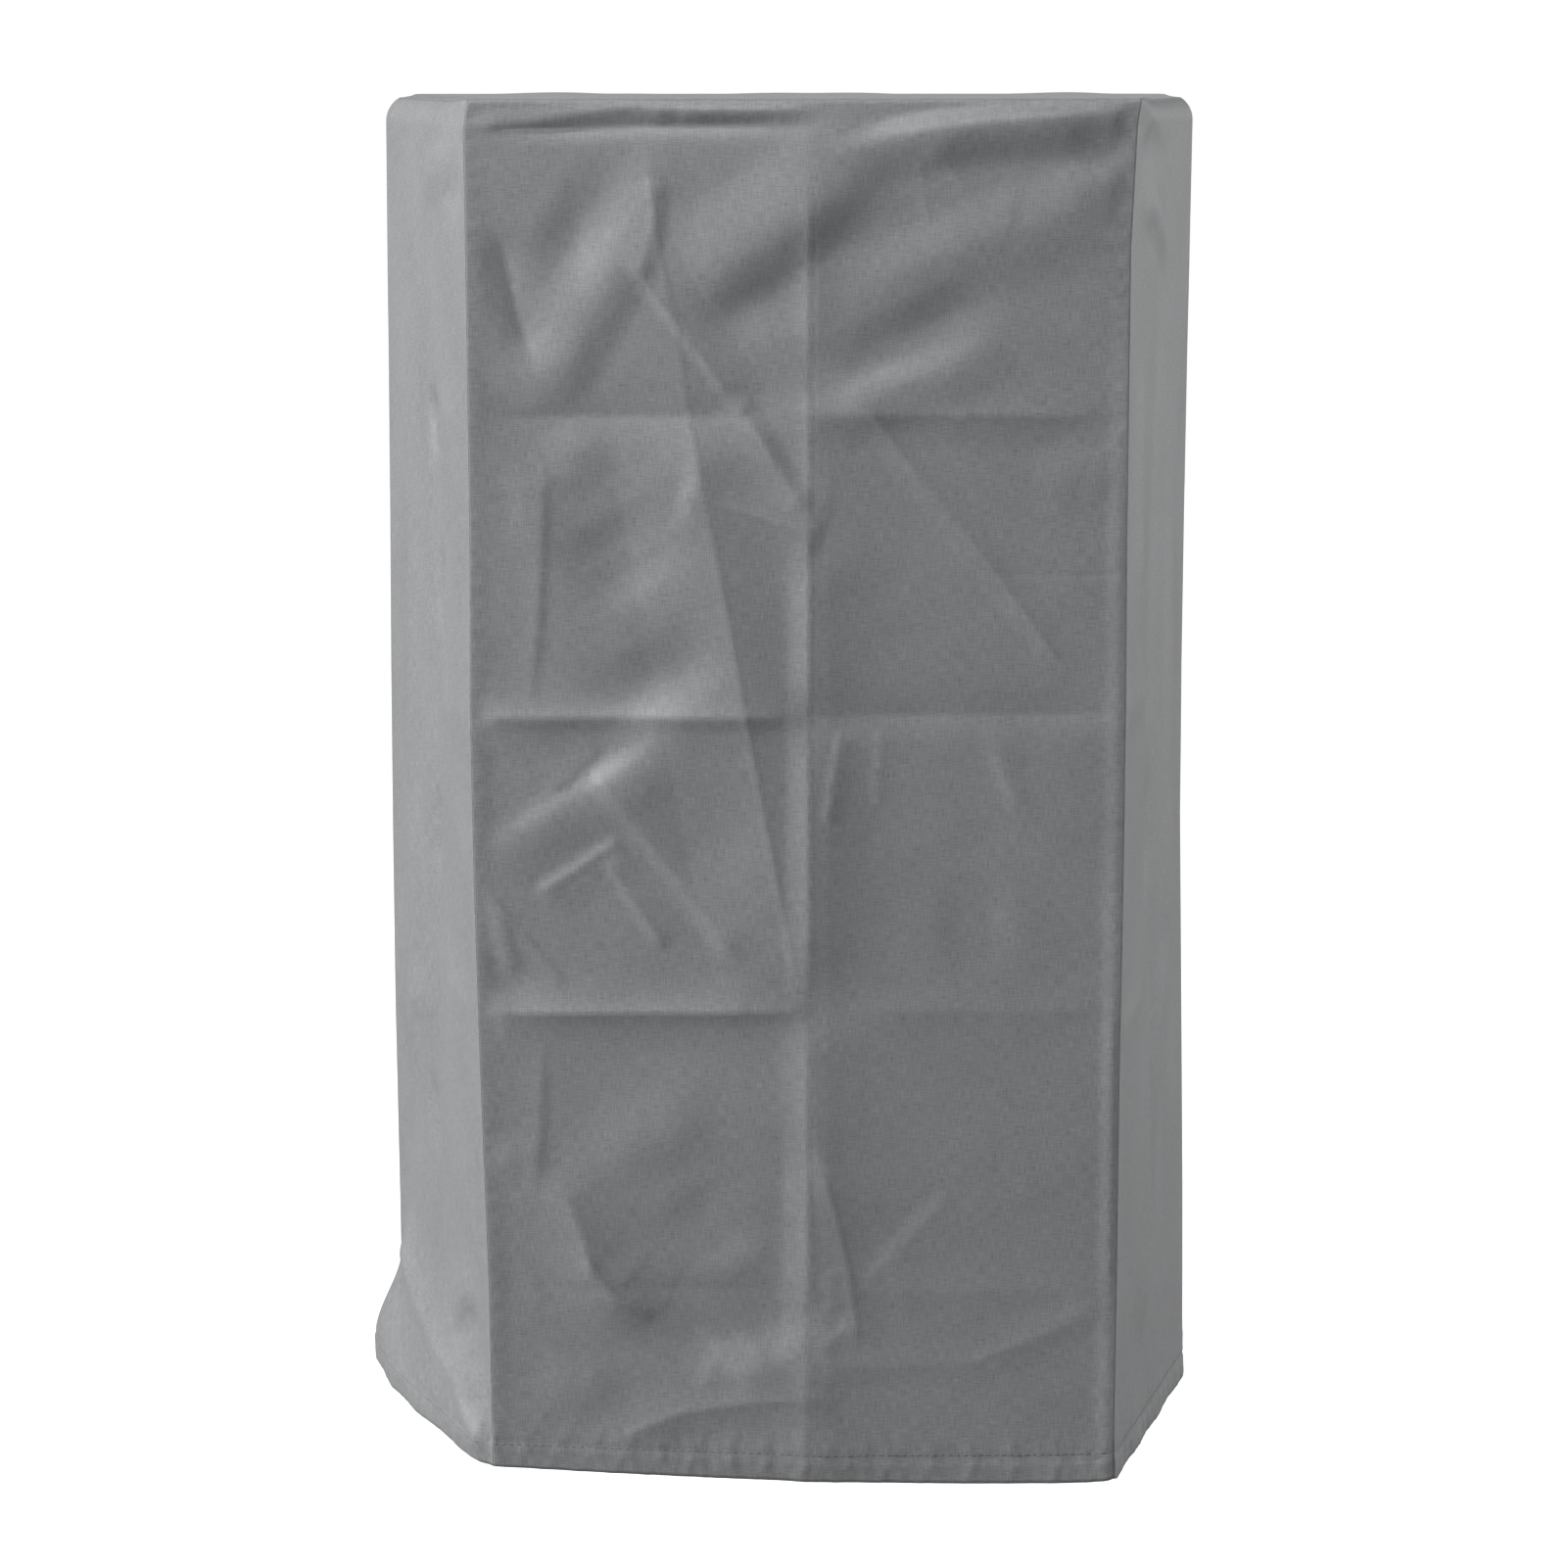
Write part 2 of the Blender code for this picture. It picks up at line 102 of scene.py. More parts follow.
Level = namedtuple("Level", "drop front_left front_right rear_left rear_right")
LEVELS = (
    Level(0.0, -170.5, 176.5, -235.5, 234.5),
    Level(14.0, -173.0, 174.5, -236.0, 235.0),
    Level(75.0, -173.0, 172.3, -237.0, 235.5),
    Level(230.0, -173.5, 173.3, -239.5, 236.0),
    Level(320.0, -175.0, 174.5, -241.0, 236.5),
    Level(413.0, -174.6, 175.0, -242.5, 238.0),
    Level(523.0, -173.0, 175.0, -244.0, 242.0),
    Level(640.0, -170.5, 175.8, -244.5, 246.0),
    Level(750.0, -170.0, 176.0, -245.0, 249.0),
)

# The kicked-out lower left: how far at each place along the side, and the drops it grows between
Flare = namedtuple("Flare", "along rise start full")
FLARE = (
    Flare(0.0, 0.0, 722.0, 742.0),
    Flare(44.0, 9.5, 705.0, 742.0),
    Flare(72.0, 13.0, 698.0, 740.0),
    Flare(104.0, 16.5, 690.0, 738.0),
    Flare(152.0, 19.0, 682.0, 734.0),
    Flare(SIDE_LENGTH, 16.0, 676.0, 729.0),
)
FLARE_ALONG_BACK = 0.6
FRONT, RIGHT, BACK, LEFT = range(4)
print("front width", LEVELS[4].front_right - LEVELS[4].front_left, "mm")

# %% [markdown]
# A fold is a path across the cloth with a rise and a width on each side, left and right as
# one goes along it. Sharp folds keep the edge that packing gave them, soft ones are the rolls
# of hanging cloth, facets are flat on their narrower side, lines are fine cracks and runs go
# the whole way. A displaced texture could do this too, but paths are placed one by one.

# %% One fold
Fold = namedtuple("Fold", "kind rise left right path")
FADE = {"sharp": 0.30, "soft": 0.38, "facet": 0.14, "line": 0.16, "run": 0.04}


def smooth(value):
    v = np.clip(value, 0.0, 1.0)
    return v * v * (3.0 - 2.0 * v)


def fold_lift(fold, x, z):
    """Outward rise in millimetres that one fold gives at x, z."""
    reach = max(fold.left, fold.right)
    xs, zs = zip(*fold.path)
    near = (x > min(xs) - reach) & (x < max(xs) + reach)
    near &= (z > min(zs) - reach) & (z < max(zs) + reach)
    px, pz = x[near], z[near]
    along = np.zeros_like(px)
    offset = np.full_like(px, np.inf)
    travelled = 0.0
    for (ax, az), (bx, bz) in zip(fold.path, fold.path[1:]):
        length = math.hypot(bx - ax, bz - az)
        ux, uz = (bx - ax) / length, (bz - az) / length
        t = np.clip((px - ax) * ux + (pz - az) * uz, 0.0, length)
        dx, dz = px - ax - t * ux, pz - az - t * uz
        distance = np.hypot(dx, dz)
        side = np.where(ux * dz - uz * dx >= 0.0, 1.0, -1.0)
        nearer = distance < np.abs(offset)
        along = np.where(nearer, travelled + t, along)
        offset = np.where(nearer, side * distance, offset)
        travelled += length
    width = np.where(offset >= 0.0, fold.left, fold.right)
    across = np.clip(1.0 - np.abs(offset) / width, 0.0, 1.0)
    narrow = width <= min(fold.left, fold.right)
    flat = np.where(narrow, across, across * across)
    profile = {"soft": smooth(across), "facet": flat}.get(fold.kind, across * across)
    fade = FADE[fold.kind] * travelled
    lift = np.zeros_like(x)
    lift[near] = fold.rise * profile * smooth(along / fade) * smooth((travelled - along) / fade)
    return lift


# %% [markdown]
# The front's folds, read off the photograph. The packing folds come first: the cover was
# folded in half down the middle and then four times across, so the level creases change
# from mountain to valley where they cross the middle one.

# %% Packing folds
MIDDLE = 5.0
PACKING_FOLDS = (
    Fold("run", 3.0, 168.0, 172.0, ((MIDDLE, 4), (MIDDLE, -765))),
    Fold("sharp", 2.4, 50.0, 19.0, ((MIDDLE, -482), (MIDDLE, -574))),
    Fold("sharp", 2.6, 50.0, 22.0, ((MIDDLE, -560), (MIDDLE, -664))),
    Fold("sharp", 1.7, 50.0, 26.0, ((MIDDLE, -654), (MIDDLE, -790))),
    Fold("sharp", 2.1, 50.0, 16.0, ((MIDDLE, -316), (MIDDLE, -492))),
    Fold("sharp", 2.4, 50.0, 18.0, ((MIDDLE, -216), (MIDDLE, -328))),
    Fold("sharp", 1.2, 30.0, 12.0, ((MIDDLE, -140), (MIDDLE, -226))),
    Fold("sharp", 0.8, 20.0, 10.0, ((MIDDLE, -40), (MIDDLE, -150))),
    Fold("facet", -1.1, 13.0, 40.0, ((-8, -540), (-10, -690))),
    Fold("facet", -0.8, 11.0, 30.0, ((-6, -230), (-8, -490))),
    Fold("run", 0.35, 50.0, 9.0, ((15, -170), (15, -765))),
    Fold("run", -0.40, 1.6, 1.6, ((MIDDLE + 1.6, -12), (MIDDLE + 1.6, -765))),
    Fold("sharp", -2.4, 30.0, 24.0, ((-176, -162.5), (MIDDLE, -161))),
    Fold("sharp", 2.6, 30.0, 22.0, ((MIDDLE - 30, -161), (MIDDLE, -161), (176, -162.5))),
    Fold("sharp", 3.6, 30.0, 26.0, ((-190, -322), (MIDDLE, -321.5))),
    Fold("facet", 0.9, 12.0, 8.0, ((-190, -322), (MIDDLE + 5, -321.5))),
    Fold("sharp", -1.9, 28.0, 18.0, ((MIDDLE - 20, -321.5), (196, -322))),
    Fold("sharp", 3.6, 24.0, 30.0, ((-190, -484), (MIDDLE + 10, -484))),
    Fold("facet", 0.7, 12.0, 8.0, ((-190, -484), (MIDDLE + 5, -484))),
    Fold("sharp", 1.0, 20.0, 20.0, ((MIDDLE, -484), (186, -486))),
    Fold("sharp", -0.8, 18.0, 18.0, ((-172, -640), (MIDDLE, -644))),
    Fold("sharp", 0.6, 18.0, 18.0, ((MIDDLE, -644), (176, -646))),
)
print(len(PACKING_FOLDS), "packing folds")

# %% Soft rolls and facets of the upper front
UPPER_FOLDS = (
    Fold("facet", 1.7, 8.0, 12.0, ((-176, -14), (-139, -11), (-83, -2), (-60, 0))),
    Fold("soft", 2.9, 5.0, 11.0, ((-90, -4), (16, -4))),
    Fold("sharp", -2.3, 11.0, 9.0, ((-190, -16), (-129, -15), (-84, -13), (20, -12))),
    Fold("soft", 0.3, 5.0, 4.0, ((-74, -2), (-71, -14))),
    Fold("soft", -0.3, 4.0, 5.0, ((-62, -2), (-64, -14))),
    Fold("soft", 5.8, 12.0, 24.0,
         ((10, -34), (27, -26), (48, -19), (71, -15), (98, -12), (140, -9), (190, -8))),
    Fold("soft", 4.8, 40.0, 28.0,
         ((-72, -112), (-55, -92), (-23, -74), (6, -54), (27, -38), (50, -26))),
    Fold("soft", -1.3, 20.0, 22.0, ((-54, -120), (-28, -108), (14, -96))),
    Fold("sharp", -2.6, 30.0, 20.0, ((-158, -60), (-152, -84), (-146, -112), (-136, -142))),
    Fold("soft", -2.0, 24.0, 22.0, ((-78, -20), (-100, -44), (-118, -72), (-136, -108))),
    Fold("soft", 2.6, 22.0, 30.0, ((-76, -54), (-100, -96), (-127, -142), (-154, -164))),
    Fold("facet", 1.9, 56.0, 40.0, ((-79, -14), (-75, -76), (-60, -157), (-49, -211))),
    Fold("facet", 3.5, 60.0, 44.0, ((-60, -157), (-49, -211), (-36, -284), (-15, -397), (2, -490))),
    Fold("facet", 2.3, 30.0, 24.0, ((-66, -202), (-48, -206), (16, -226))),
    Fold("facet", 1.2, 26.0, 6.0, ((-90, -80), (-73, -100), (-46, -137), (-32, -158))),
    Fold("facet", 1.7, 8.0, 16.0, ((-36, -150), (-24, -167), (-14, -185), (4, -214))),
    Fold("facet", 1.2, 24.0, 8.0, ((-84, -92), (-75, -60), (-75, -38))),
    Fold("soft", 2.8, 26.0, 34.0, ((6, -112), (40, -96), (84, -76), (176, -46))),
    Fold("soft", -1.7, 20.0, 22.0, ((10, -140), (54, -122), (110, -96))),
    Fold("soft", 2.3, 18.0, 22.0, ((2, -172), (39, -152), (79, -140), (116, -126))),
    Fold("facet", 0.9, 18.0, 10.0,
         ((8, -129), (39, -164), (58, -188), (78, -214), (106, -249), (146, -304))),
    Fold("facet", 0.8, 16.0, 30.0, ((64, -22), (78, -38), (96, -52), (116, -58))),
    Fold("soft", 1.1, 14.0, 20.0, ((122, -42), (150, -44), (190, -34))),
    Fold("soft", -1.0, 12.0, 16.0, ((138, -14), (158, -24), (184, -28))),
    Fold("soft", 1.0, 24.0, 24.0, ((120, -210), (146, -192), (176, -204))),
)
print(len(UPPER_FOLDS), "folds on the upper front")

# %% Soft rolls and facets of the lower front
LOWER_FOLDS = (
    Fold("sharp", 0.8, 7.0, 16.0, ((-133, -170), (-135, -216), (-137, -256), (-144, -330))),
    Fold("soft", 1.0, 34.0, 14.0, ((-146, -180), (-142, -206), (-142, -240))),
    Fold("soft", 1.0, 24.0, 20.0, ((-118, -166), (-122, -206))),
    Fold("soft", -2.4, 24.0, 26.0, ((-34, -270), (-65, -296), (-90, -310), (-130, -314))),
    Fold("soft", -2.1, 40.0, 34.0, ((-110, -214), (-82, -262))),
    Fold("soft", 2.3, 13.0, 30.0,
         ((-180, -404), (-146, -384), (-116, -366), (-85, -346), (-56, -326))),
    Fold("soft", 3.2, 54.0, 36.0, ((-46, -312), (-66, -338), (-86, -366), (-100, -404))),
    Fold("facet", 1.9, 50.0, 7.0, ((-114, -346), (-92, -374), (-64, -412), (-30, -460))),
    Fold("facet", 1.3, 20.0, 5.0, ((-104, -398), (-88, -424), (-72, -450))),
    Fold("facet", 1.4, 6.0, 24.0, ((-142, -420), (-118, -404), (-94, -388))),
    Fold("facet", 1.0, 2.6, 14.0, ((-170, -414), (-148, -442), (-124, -470))),
    Fold("facet", 0.8, 16.0, 3.0, ((-134, -362), (-106, -340))),
    Fold("soft", 1.1, 8.0, 10.0, ((-166, -420), (-158, -448), (-152, -470))),
    Fold("soft", -1.1, 14.0, 16.0, ((-182, -446), (-160, -464), (-140, -476))),
    Fold("sharp", 0.8, 8.0, 18.0, ((-139, -496), (-141, -550), (-146, -596))),
    Fold("soft", 1.6, 34.0, 26.0, ((-120, -566), (-88, -560), (-40, -542))),
    Fold("soft", 1.4, 16.0, 20.0, ((-180, -566), (-150, -566), (-128, -572))),
    Fold("sharp", 4.2, 48.0, 34.0,
         ((-148, -566), (-126, -592), (-118, -612), (-114, -634), (-100, -648), (-76, -660))),
    Fold("facet", 0.7, 3.0, 12.0, ((-118, -622), (-101, -645), (-78, -658))),
    Fold("soft", -3.6, 44.0, 26.0,
         ((-96, -654), (-78, -664), (-54, -671), (-24, -667), (12, -640))),
    Fold("soft", -1.6, 30.0, 34.0, ((-66, -584), (-30, -630))),
    Fold("facet", 0.4, 12.0, 7.0, ((-40, -676), (-54, -702))),
    Fold("soft", 0.4, 8.0, 8.0, ((-152, -632), (-146, -640), (-142, -654))),
    Fold("soft", 1.4, 26.0, 26.0, ((-38, -700), (-10, -680))),
    Fold("soft", 1.3, 24.0, 24.0, ((-150, -690), (-120, -700), (-96, -686))),
    Fold("sharp", 2.2, 30.0, 24.0, ((-116, -738), (-67, -715), (-24, -708), (26, -706))),
    Fold("facet", 0.9, 20.0, 9.0, ((6, -548), (15, -579), (22, -614), (28, -641), (34, -684))),
    Fold("facet", 0.6, 16.0, 6.0, ((17, -630), (21, -656))),
    Fold("facet", 0.6, 6.0, 14.0, ((10, -680), (30, -664))),
    Fold("facet", 0.7, 8.0, 34.0, ((36, -642), (58, -617), (86, -586))),
    Fold("facet", 0.3, 24.0, 9.0, ((52, -622), (62, -660))),
    Fold("facet", 0.8, 16.0, 14.0, ((4, -686), (36, -685), (96, -687), (138, -668), (178, -648))),
    Fold("facet", 0.8, 18.0, 4.0, ((22, -328), (19, -352), (14, -382))),
    Fold("facet", 0.4, 12.0, 5.0, ((44, -330), (42, -370))),
    Fold("soft", 0.7, 14.0, 8.0, ((100, -326), (122, -384))),
    Fold("soft", -0.9, 30.0, 40.0, ((70, -440), (120, -430))),
)
print(len(LOWER_FOLDS), "folds on the lower front")

# %% Fine cracks of the coating
LINES = (
    Fold("line", 0.30, 2.4, 3.2,
         ((-79, -25), (-77, -48), (-73, -78), (-64, -119), (-59, -157), (-49, -211))),
    Fold("line", 0.34, 2.4, 3.4,
         ((-49, -211), (-42, -247), (-35, -284), (-25, -343), (-15, -397), (0, -475))),
    Fold("line", 0.34, 2.6, 3.2, ((-90, -80), (-63, -118), (-49, -135), (-38, -154))),
    Fold("line", 0.26, 2.4, 3.0, ((-54, -58), (-44, -82))),
    Fold("line", 0.30, 2.4, 3.0, ((34, -158), (58, -188), (62, -194))),
    Fold("line", 0.28, 2.4, 3.0, ((78, -212), (106, -249), (144, -302))),
    Fold("line", -0.30, 2.6, 2.6, ((98, -247), (176, -248))),
    Fold("line", 0.26, 2.4, 2.6, ((142, -111), (148, -117), (151, -126))),
    Fold("line", 0.26, 2.4, 2.6, ((60, -30), (67, -64))),
    Fold("line", 0.26, 2.4, 2.6, ((76, -33), (87, -50))),
    Fold("line", -0.34, 2.6, 2.6, ((-134, -360), (-108, -341))),
    Fold("line", -0.34, 2.8, 2.8, ((-168, -418), (-148, -442), (-126, -467))),
    Fold("line", 0.30, 2.4, 2.8, ((-165, -380), (-140, -366), (-112, -349))),
    Fold("line", 0.30, 2.4, 2.8, ((-140, -417), (-120, -404), (-98, -390))),
    Fold("line", 0.34, 2.4, 3.2, ((9, -568), (21, -603), (28, -638), (33, -678))),
    Fold("line", 0.30, 2.4, 3.0, ((-110, -733), (-67, -713), (-24, -707), (6, -706))),
    Fold("line", 0.22, 2.4, 2.8, ((9, -687), (85, -689), (139, -670), (172, -654))),
    Fold("line", 0.24, 2.4, 2.8, ((-49, -206), (4, -222))),
    Fold("line", -0.26, 2.4, 2.4, ((-36, -690), (-46, -680), (-60, -664))),
)
print(len(LINES), "fine lines")

# %% [markdown]
# The side panels were folded inwards down their middle like a gusset, and the lower left
# rear corner kicks out under a slanting crease. The back is hidden in the photograph, so it
# gets the same packing folds, a little weaker, and a few broad rolls of its own.

# %% Folds of the sides and the back
GUSSET_FOLDS = (
    Fold("sharp", -2.6, 50.0, 60.0, ((104, -40), (96, -160), (84, -320), (104, -500), (100, -745))),
    Fold("soft", 2.0, 30.0, 26.0, ((150, -90), (154, -640))),
)
LEFT_FOLDS = GUSSET_FOLDS + (
    Fold("facet", 9.0, 40.0, 30.0,
         ((-14, -742), (26, -722), (51, -709), (91, -702), (126, -692), (152, -684), (196, -652))),
    Fold("soft", 2.2, 26.0, 20.0, ((30, -640), (60, -668), (90, -676))),
    Fold("soft", -2.4, 16.0, 20.0, ((16, -664), (50, -676), (66, -700))),
    Fold("soft", 1.8, 12.0, 18.0, ((8, -690), (34, -708), (40, -726))),
    Fold("line", 0.34, 2.6, 3.0, ((70, -500), (110, -506), (160, -520))),
    Fold("soft", 1.8, 18.0, 22.0, ((176, -548), (150, -506), (96, -498))),
    Fold("soft", -3.4, 16.0, 20.0, ((96, -150), (88, -196))),
    Fold("soft", -3.4, 12.0, 16.0, ((74, -232), (86, -292))),
    Fold("soft", -3.2, 14.0, 16.0, ((90, -372), (98, -430))),
    Fold("soft", -3.0, 12.0, 16.0, ((120, -540), (112, -600))),
    Fold("soft", 1.6, 20.0, 26.0, ((40, -560), (30, -640))),
    Fold("soft", 2.2, 18.0, 22.0, ((6, -18), (60, -34), (120, -52))),
    Fold("soft", -1.8, 16.0, 18.0, ((4, -34), (50, -60))),
    Fold("facet", 0.8, 20.0, 20.0, ((-10, -161), (70, -166))),
    Fold("facet", 1.0, 22.0, 20.0, ((-10, -320), (80, -326))),
    Fold("facet", 1.0, 22.0, 20.0, ((-10, -486), (80, -480))),
)
RIGHT_FOLDS = GUSSET_FOLDS + (
    Fold("facet", 2.2, 40.0, 34.0, ((138, -470), (118, -560), (102, -645), (73, -704))),
    Fold("soft", -2.2, 14.0, 18.0, ((4, -28), (60, -22), (110, -40))),
    Fold("soft", 2.4, 14.0, 18.0, ((6, -46), (70, -58), (140, -90))),
    Fold("soft", 1.8, 26.0, 30.0, ((40, -120), (52, -300))),
    Fold("soft", -1.6, 20.0, 20.0, ((96, -350), (88, -450))),
    Fold("facet", 1.0, 22.0, 18.0, ((-10, -321), (80, -318))),
    Fold("facet", 0.9, 22.0, 18.0, ((-10, -500), (70, -492))),
)
BACK_FOLDS = (
    Fold("soft", 3.0, 46.0, 46.0, ((120, -60), (90, -240))),
    Fold("soft", -2.6, 50.0, 50.0, ((-100, -90), (-60, -260))),
    Fold("sharp", 2.0, 40.0, 30.0, ((-150, -330), (-20, -470))),
    Fold("soft", -4.0, 60.0, 60.0, ((90, -560), (60, -650))),
    Fold("soft", 3.0, 50.0, 50.0, ((-120, -560), (-90, -690))),
)
FRONT_FOLDS = PACKING_FOLDS + UPPER_FOLDS + LOWER_FOLDS + LINES
BACK_SHARE = -0.6
BACK_PACKING = tuple(fold._replace(rise=BACK_SHARE * fold.rise) for fold in PACKING_FOLDS[1:])
SHEET_FOLDS = {
    FRONT: FRONT_FOLDS,
    RIGHT: RIGHT_FOLDS,
    BACK: BACK_FOLDS + BACK_PACKING,
    LEFT: LEFT_FOLDS,
}
print("folds in all:", sum(len(folds) for folds in SHEET_FOLDS.values()))

# %% [markdown]
# Sewing leaves its own relief. The seam stands a little proud and the cloth dips beside it,
# with small puckers where the thread is tight, and the hem puckers above and below its line.
# The puckers come from a few sine waves whose phases wander, so no two are alike.

# %% Seam and hem relief
SEAM_STEP = 0.5
SEAM_REACH = 12.0
SEAM_PUCKER_PITCH = 12.0
PUCKER_RISE = 0.30
PUCKER_REACH = 5.0
HEM_PUCKER_RISE = 0.75
HEM_PUCKER_PITCHES = (43.0, 37.0)
HEM_LEAN = 0.55
HEM_GROOVE = 0.30


def wander(s, pitch, seed):
    """A wave of about this pitch with an uneven phase, between -1 and 1."""
    phase = 1.7 * np.sin(s / (3.1 * pitch) + seed) + 1.1 * np.sin(s / (1.7 * pitch) + 2.3 * seed)
    swell = 0.62 + 0.38 * np.sin(s / (4.3 * pitch) + 1.3 * seed)
    return swell * np.sin(2.0 * math.pi * s / pitch + phase)


def seam_relief(away, z, seed):
    """The panel sits behind its seam, with small puckers, at this distance from it."""
    near_seam = np.exp(-away / PUCKER_REACH) * smooth(away / 1.5)
    puckers = PUCKER_RISE * wander(z, SEAM_PUCKER_PITCH, seed) * near_seam
    step = SEAM_STEP * (0.35 + 0.65 * smooth((-z - 90.0) / 60.0))
    return -step * smooth(away / SEAM_REACH) + puckers


def seam_roll(away, z):
    """A narrow roll that the right seam pushes up, stronger towards the hem."""
    roll = smooth(away / 3.0) * smooth(1.0 - (away - 3.0) / 8.0)
    swell = 0.45 + 0.55 * smooth((-z - 470.0) / 30.0) * smooth((650.0 + z) / 20.0)
    return 0.9 * roll * swell * smooth((-z - 150.0) / 80.0)


def hem_relief(s, above_edge, seed):
    """Puckers at the hem: s runs along it, above_edge is the height over its edge."""
    from_line = above_edge - HEM_DEPTH
    fan = np.abs(from_line)
    reach = np.where(from_line > 0.0, np.exp(-fan / 9.0), np.exp(-fan / 16.0))
    left_lean = (1.0 - np.abs(wander(s + HEM_LEAN * fan, HEM_PUCKER_PITCHES[0], seed))) ** 3
    right_lean = (1.0 - np.abs(wander(s - HEM_LEAN * fan, HEM_PUCKER_PITCHES[1], seed + 2.0))) ** 3
    fine = 0.3 * wander(s, 9.0, seed + 1.0)
    puckers = (left_lean + right_lean + fine) * reach * (0.2 + 0.8 * smooth(fan / 4.0))
    slack = 0.5 * wander(s, 61.0, seed + 3.0) * smooth(1.0 - above_edge / 30.0)
    groove = -HEM_GROOVE * np.exp(-((from_line / 1.2) ** 2))
    fold_step = 0.35 * smooth((HEM_DEPTH + 1.0 - above_edge) / 2.0)
    return HEM_PUCKER_RISE * puckers + slack + groove + fold_step


def cloth_waver(s, z, seed):
    """Slow unevenness of a thin stiff cloth, about half a millimetre."""
    bend_s, bend_z = 0.6 * np.sin(z / 51.0 + seed), 0.8 * np.sin(s / 29.0)
    broad = np.sin(s / 37.0 + bend_s) * np.sin(z / 43.0 + seed + bend_z)
    small = np.sin(s / 11.0 + 2.0 * np.sin(z / 17.0 + seed)) * np.sin(z / 13.0 + 1.7 * seed)
    return 0.28 * broad + 0.10 * small


print("pucker pitch", SEAM_PUCKER_PITCH, "mm on the seams,", HEM_PUCKER_PITCHES, "mm on the hem")

# %% [markdown]
# One function gives the outside of the walls, so the pieces meet exactly where they are sewn.
# Each side runs from the middle of one rounded corner to the middle of the next: 0 to 1 is
# the first half corner, 1 to 2 the flat cloth and 2 to 3 the second half corner.


# %% The walls
def corners(drop):
    """The four sharp plan corners at each drop, front left first, anticlockwise from above."""
    drops = [row.drop for row in LEVELS]
    half = DEPTH / 2.0
    names = ("front_left", "front_right", "rear_right", "rear_left")
    places = []
    for name, y in zip(names, (-half, -half, half, half)):
        x = np.interp(drop, drops, [getattr(row, name) for row in LEVELS]) * MM
        places.append(np.stack([x, np.full_like(x, y)], axis=-1))
    return places


def hem_drop(side, across):
    """How far the hem hangs below the top, in millimetres."""
    ends = (HEM_FRONT_LEFT, HEM_FRONT_RIGHT, HEM_REAR_RIGHT, HEM_REAR_LEFT)
    t = np.clip(across - 1.0, 0.0, 1.0)
    belly = HEM_FRONT_BELLY * np.sin(math.pi * t) if side == FRONT else 0.0
    from_corner = np.abs(t - 1.0) if side == FRONT else t
    rounding = 0.0
    if side in (FRONT, RIGHT):
        rounding = HEM_CORNER * np.exp(-from_corner / HEM_CORNER_REACH)
    return ends[side] * (1.0 - t) + ends[(side + 1) % 4] * t + belly - rounding


def shoulder_radius(side, across):
    """Tight along the front edge, round at the sides and the back."""
    if side == FRONT:
        return np.full_like(across, FRONT_SHOULDER)
    if side == BACK:
        return np.full_like(across, REAR_SHOULDER)
    t = np.clip(across - 1.0, 0.0, 1.0)
    from_front = t if side == RIGHT else 1.0 - t
    return FRONT_SHOULDER + (REAR_SHOULDER - FRONT_SHOULDER) * smooth(from_front / SHOULDER_SPREAD)


def flare_lift(side, across, z):
    """The lower left rear corner kicks outward where the cloth was folded."""
    if side not in (BACK, LEFT):
        return np.zeros_like(z)
    along = SIDE_LENGTH * (1.0 - np.clip(across - 1.0, 0.0, 1.0)) if side == LEFT else SIDE_LENGTH
    places = [row.along for row in FLARE]
    rise, start, full = (np.interp(along, places, [row[k] for row in FLARE]) for k in (1, 2, 3))
    if side == BACK:
        rise = rise * smooth((across - 2.0 + FLARE_ALONG_BACK) / (1.0 + FLARE_ALONG_BACK))
    return rise * smooth((-z - start) / (full - start))


def panel_lift(side, x, z, across, hem):
    """How far the cloth stands out from the plain box, in millimetres."""
    lift = sum(fold_lift(fold, x, z) for fold in SHEET_FOLDS[side]) + cloth_waver(x, z, float(side))
    hold_top = smooth((-z - 0.5) / 4.5)
    hold_sides = smooth((across - 1.0) / 0.04) * smooth((2.0 - across) / 0.04)
    lift = lift * hold_top * hold_sides
    if side == FRONT:
        width = LEVELS[4].front_right - LEVELS[4].front_left
        away = np.minimum(across - 1.0, 2.0 - across) * width
        away = np.clip(away, 0.0, None)
        lift = lift + seam_relief(away, z, 1.0 + (x > 0.0) * 2.0) * hold_top
        lift = lift + seam_roll(away, z) * (x > 0.0)
    if side in (RIGHT, LEFT):
        lift = lift + seam_relief(np.clip(x, 0.0, None), z, 5.0 + side) * 0.6 * hold_top
    hold_corners = smooth(across / 0.9) * smooth((3.0 - across) / 0.9)
    return lift + hem_relief(x, hem + z, 2.0 * side + 1.0) * hold_corners


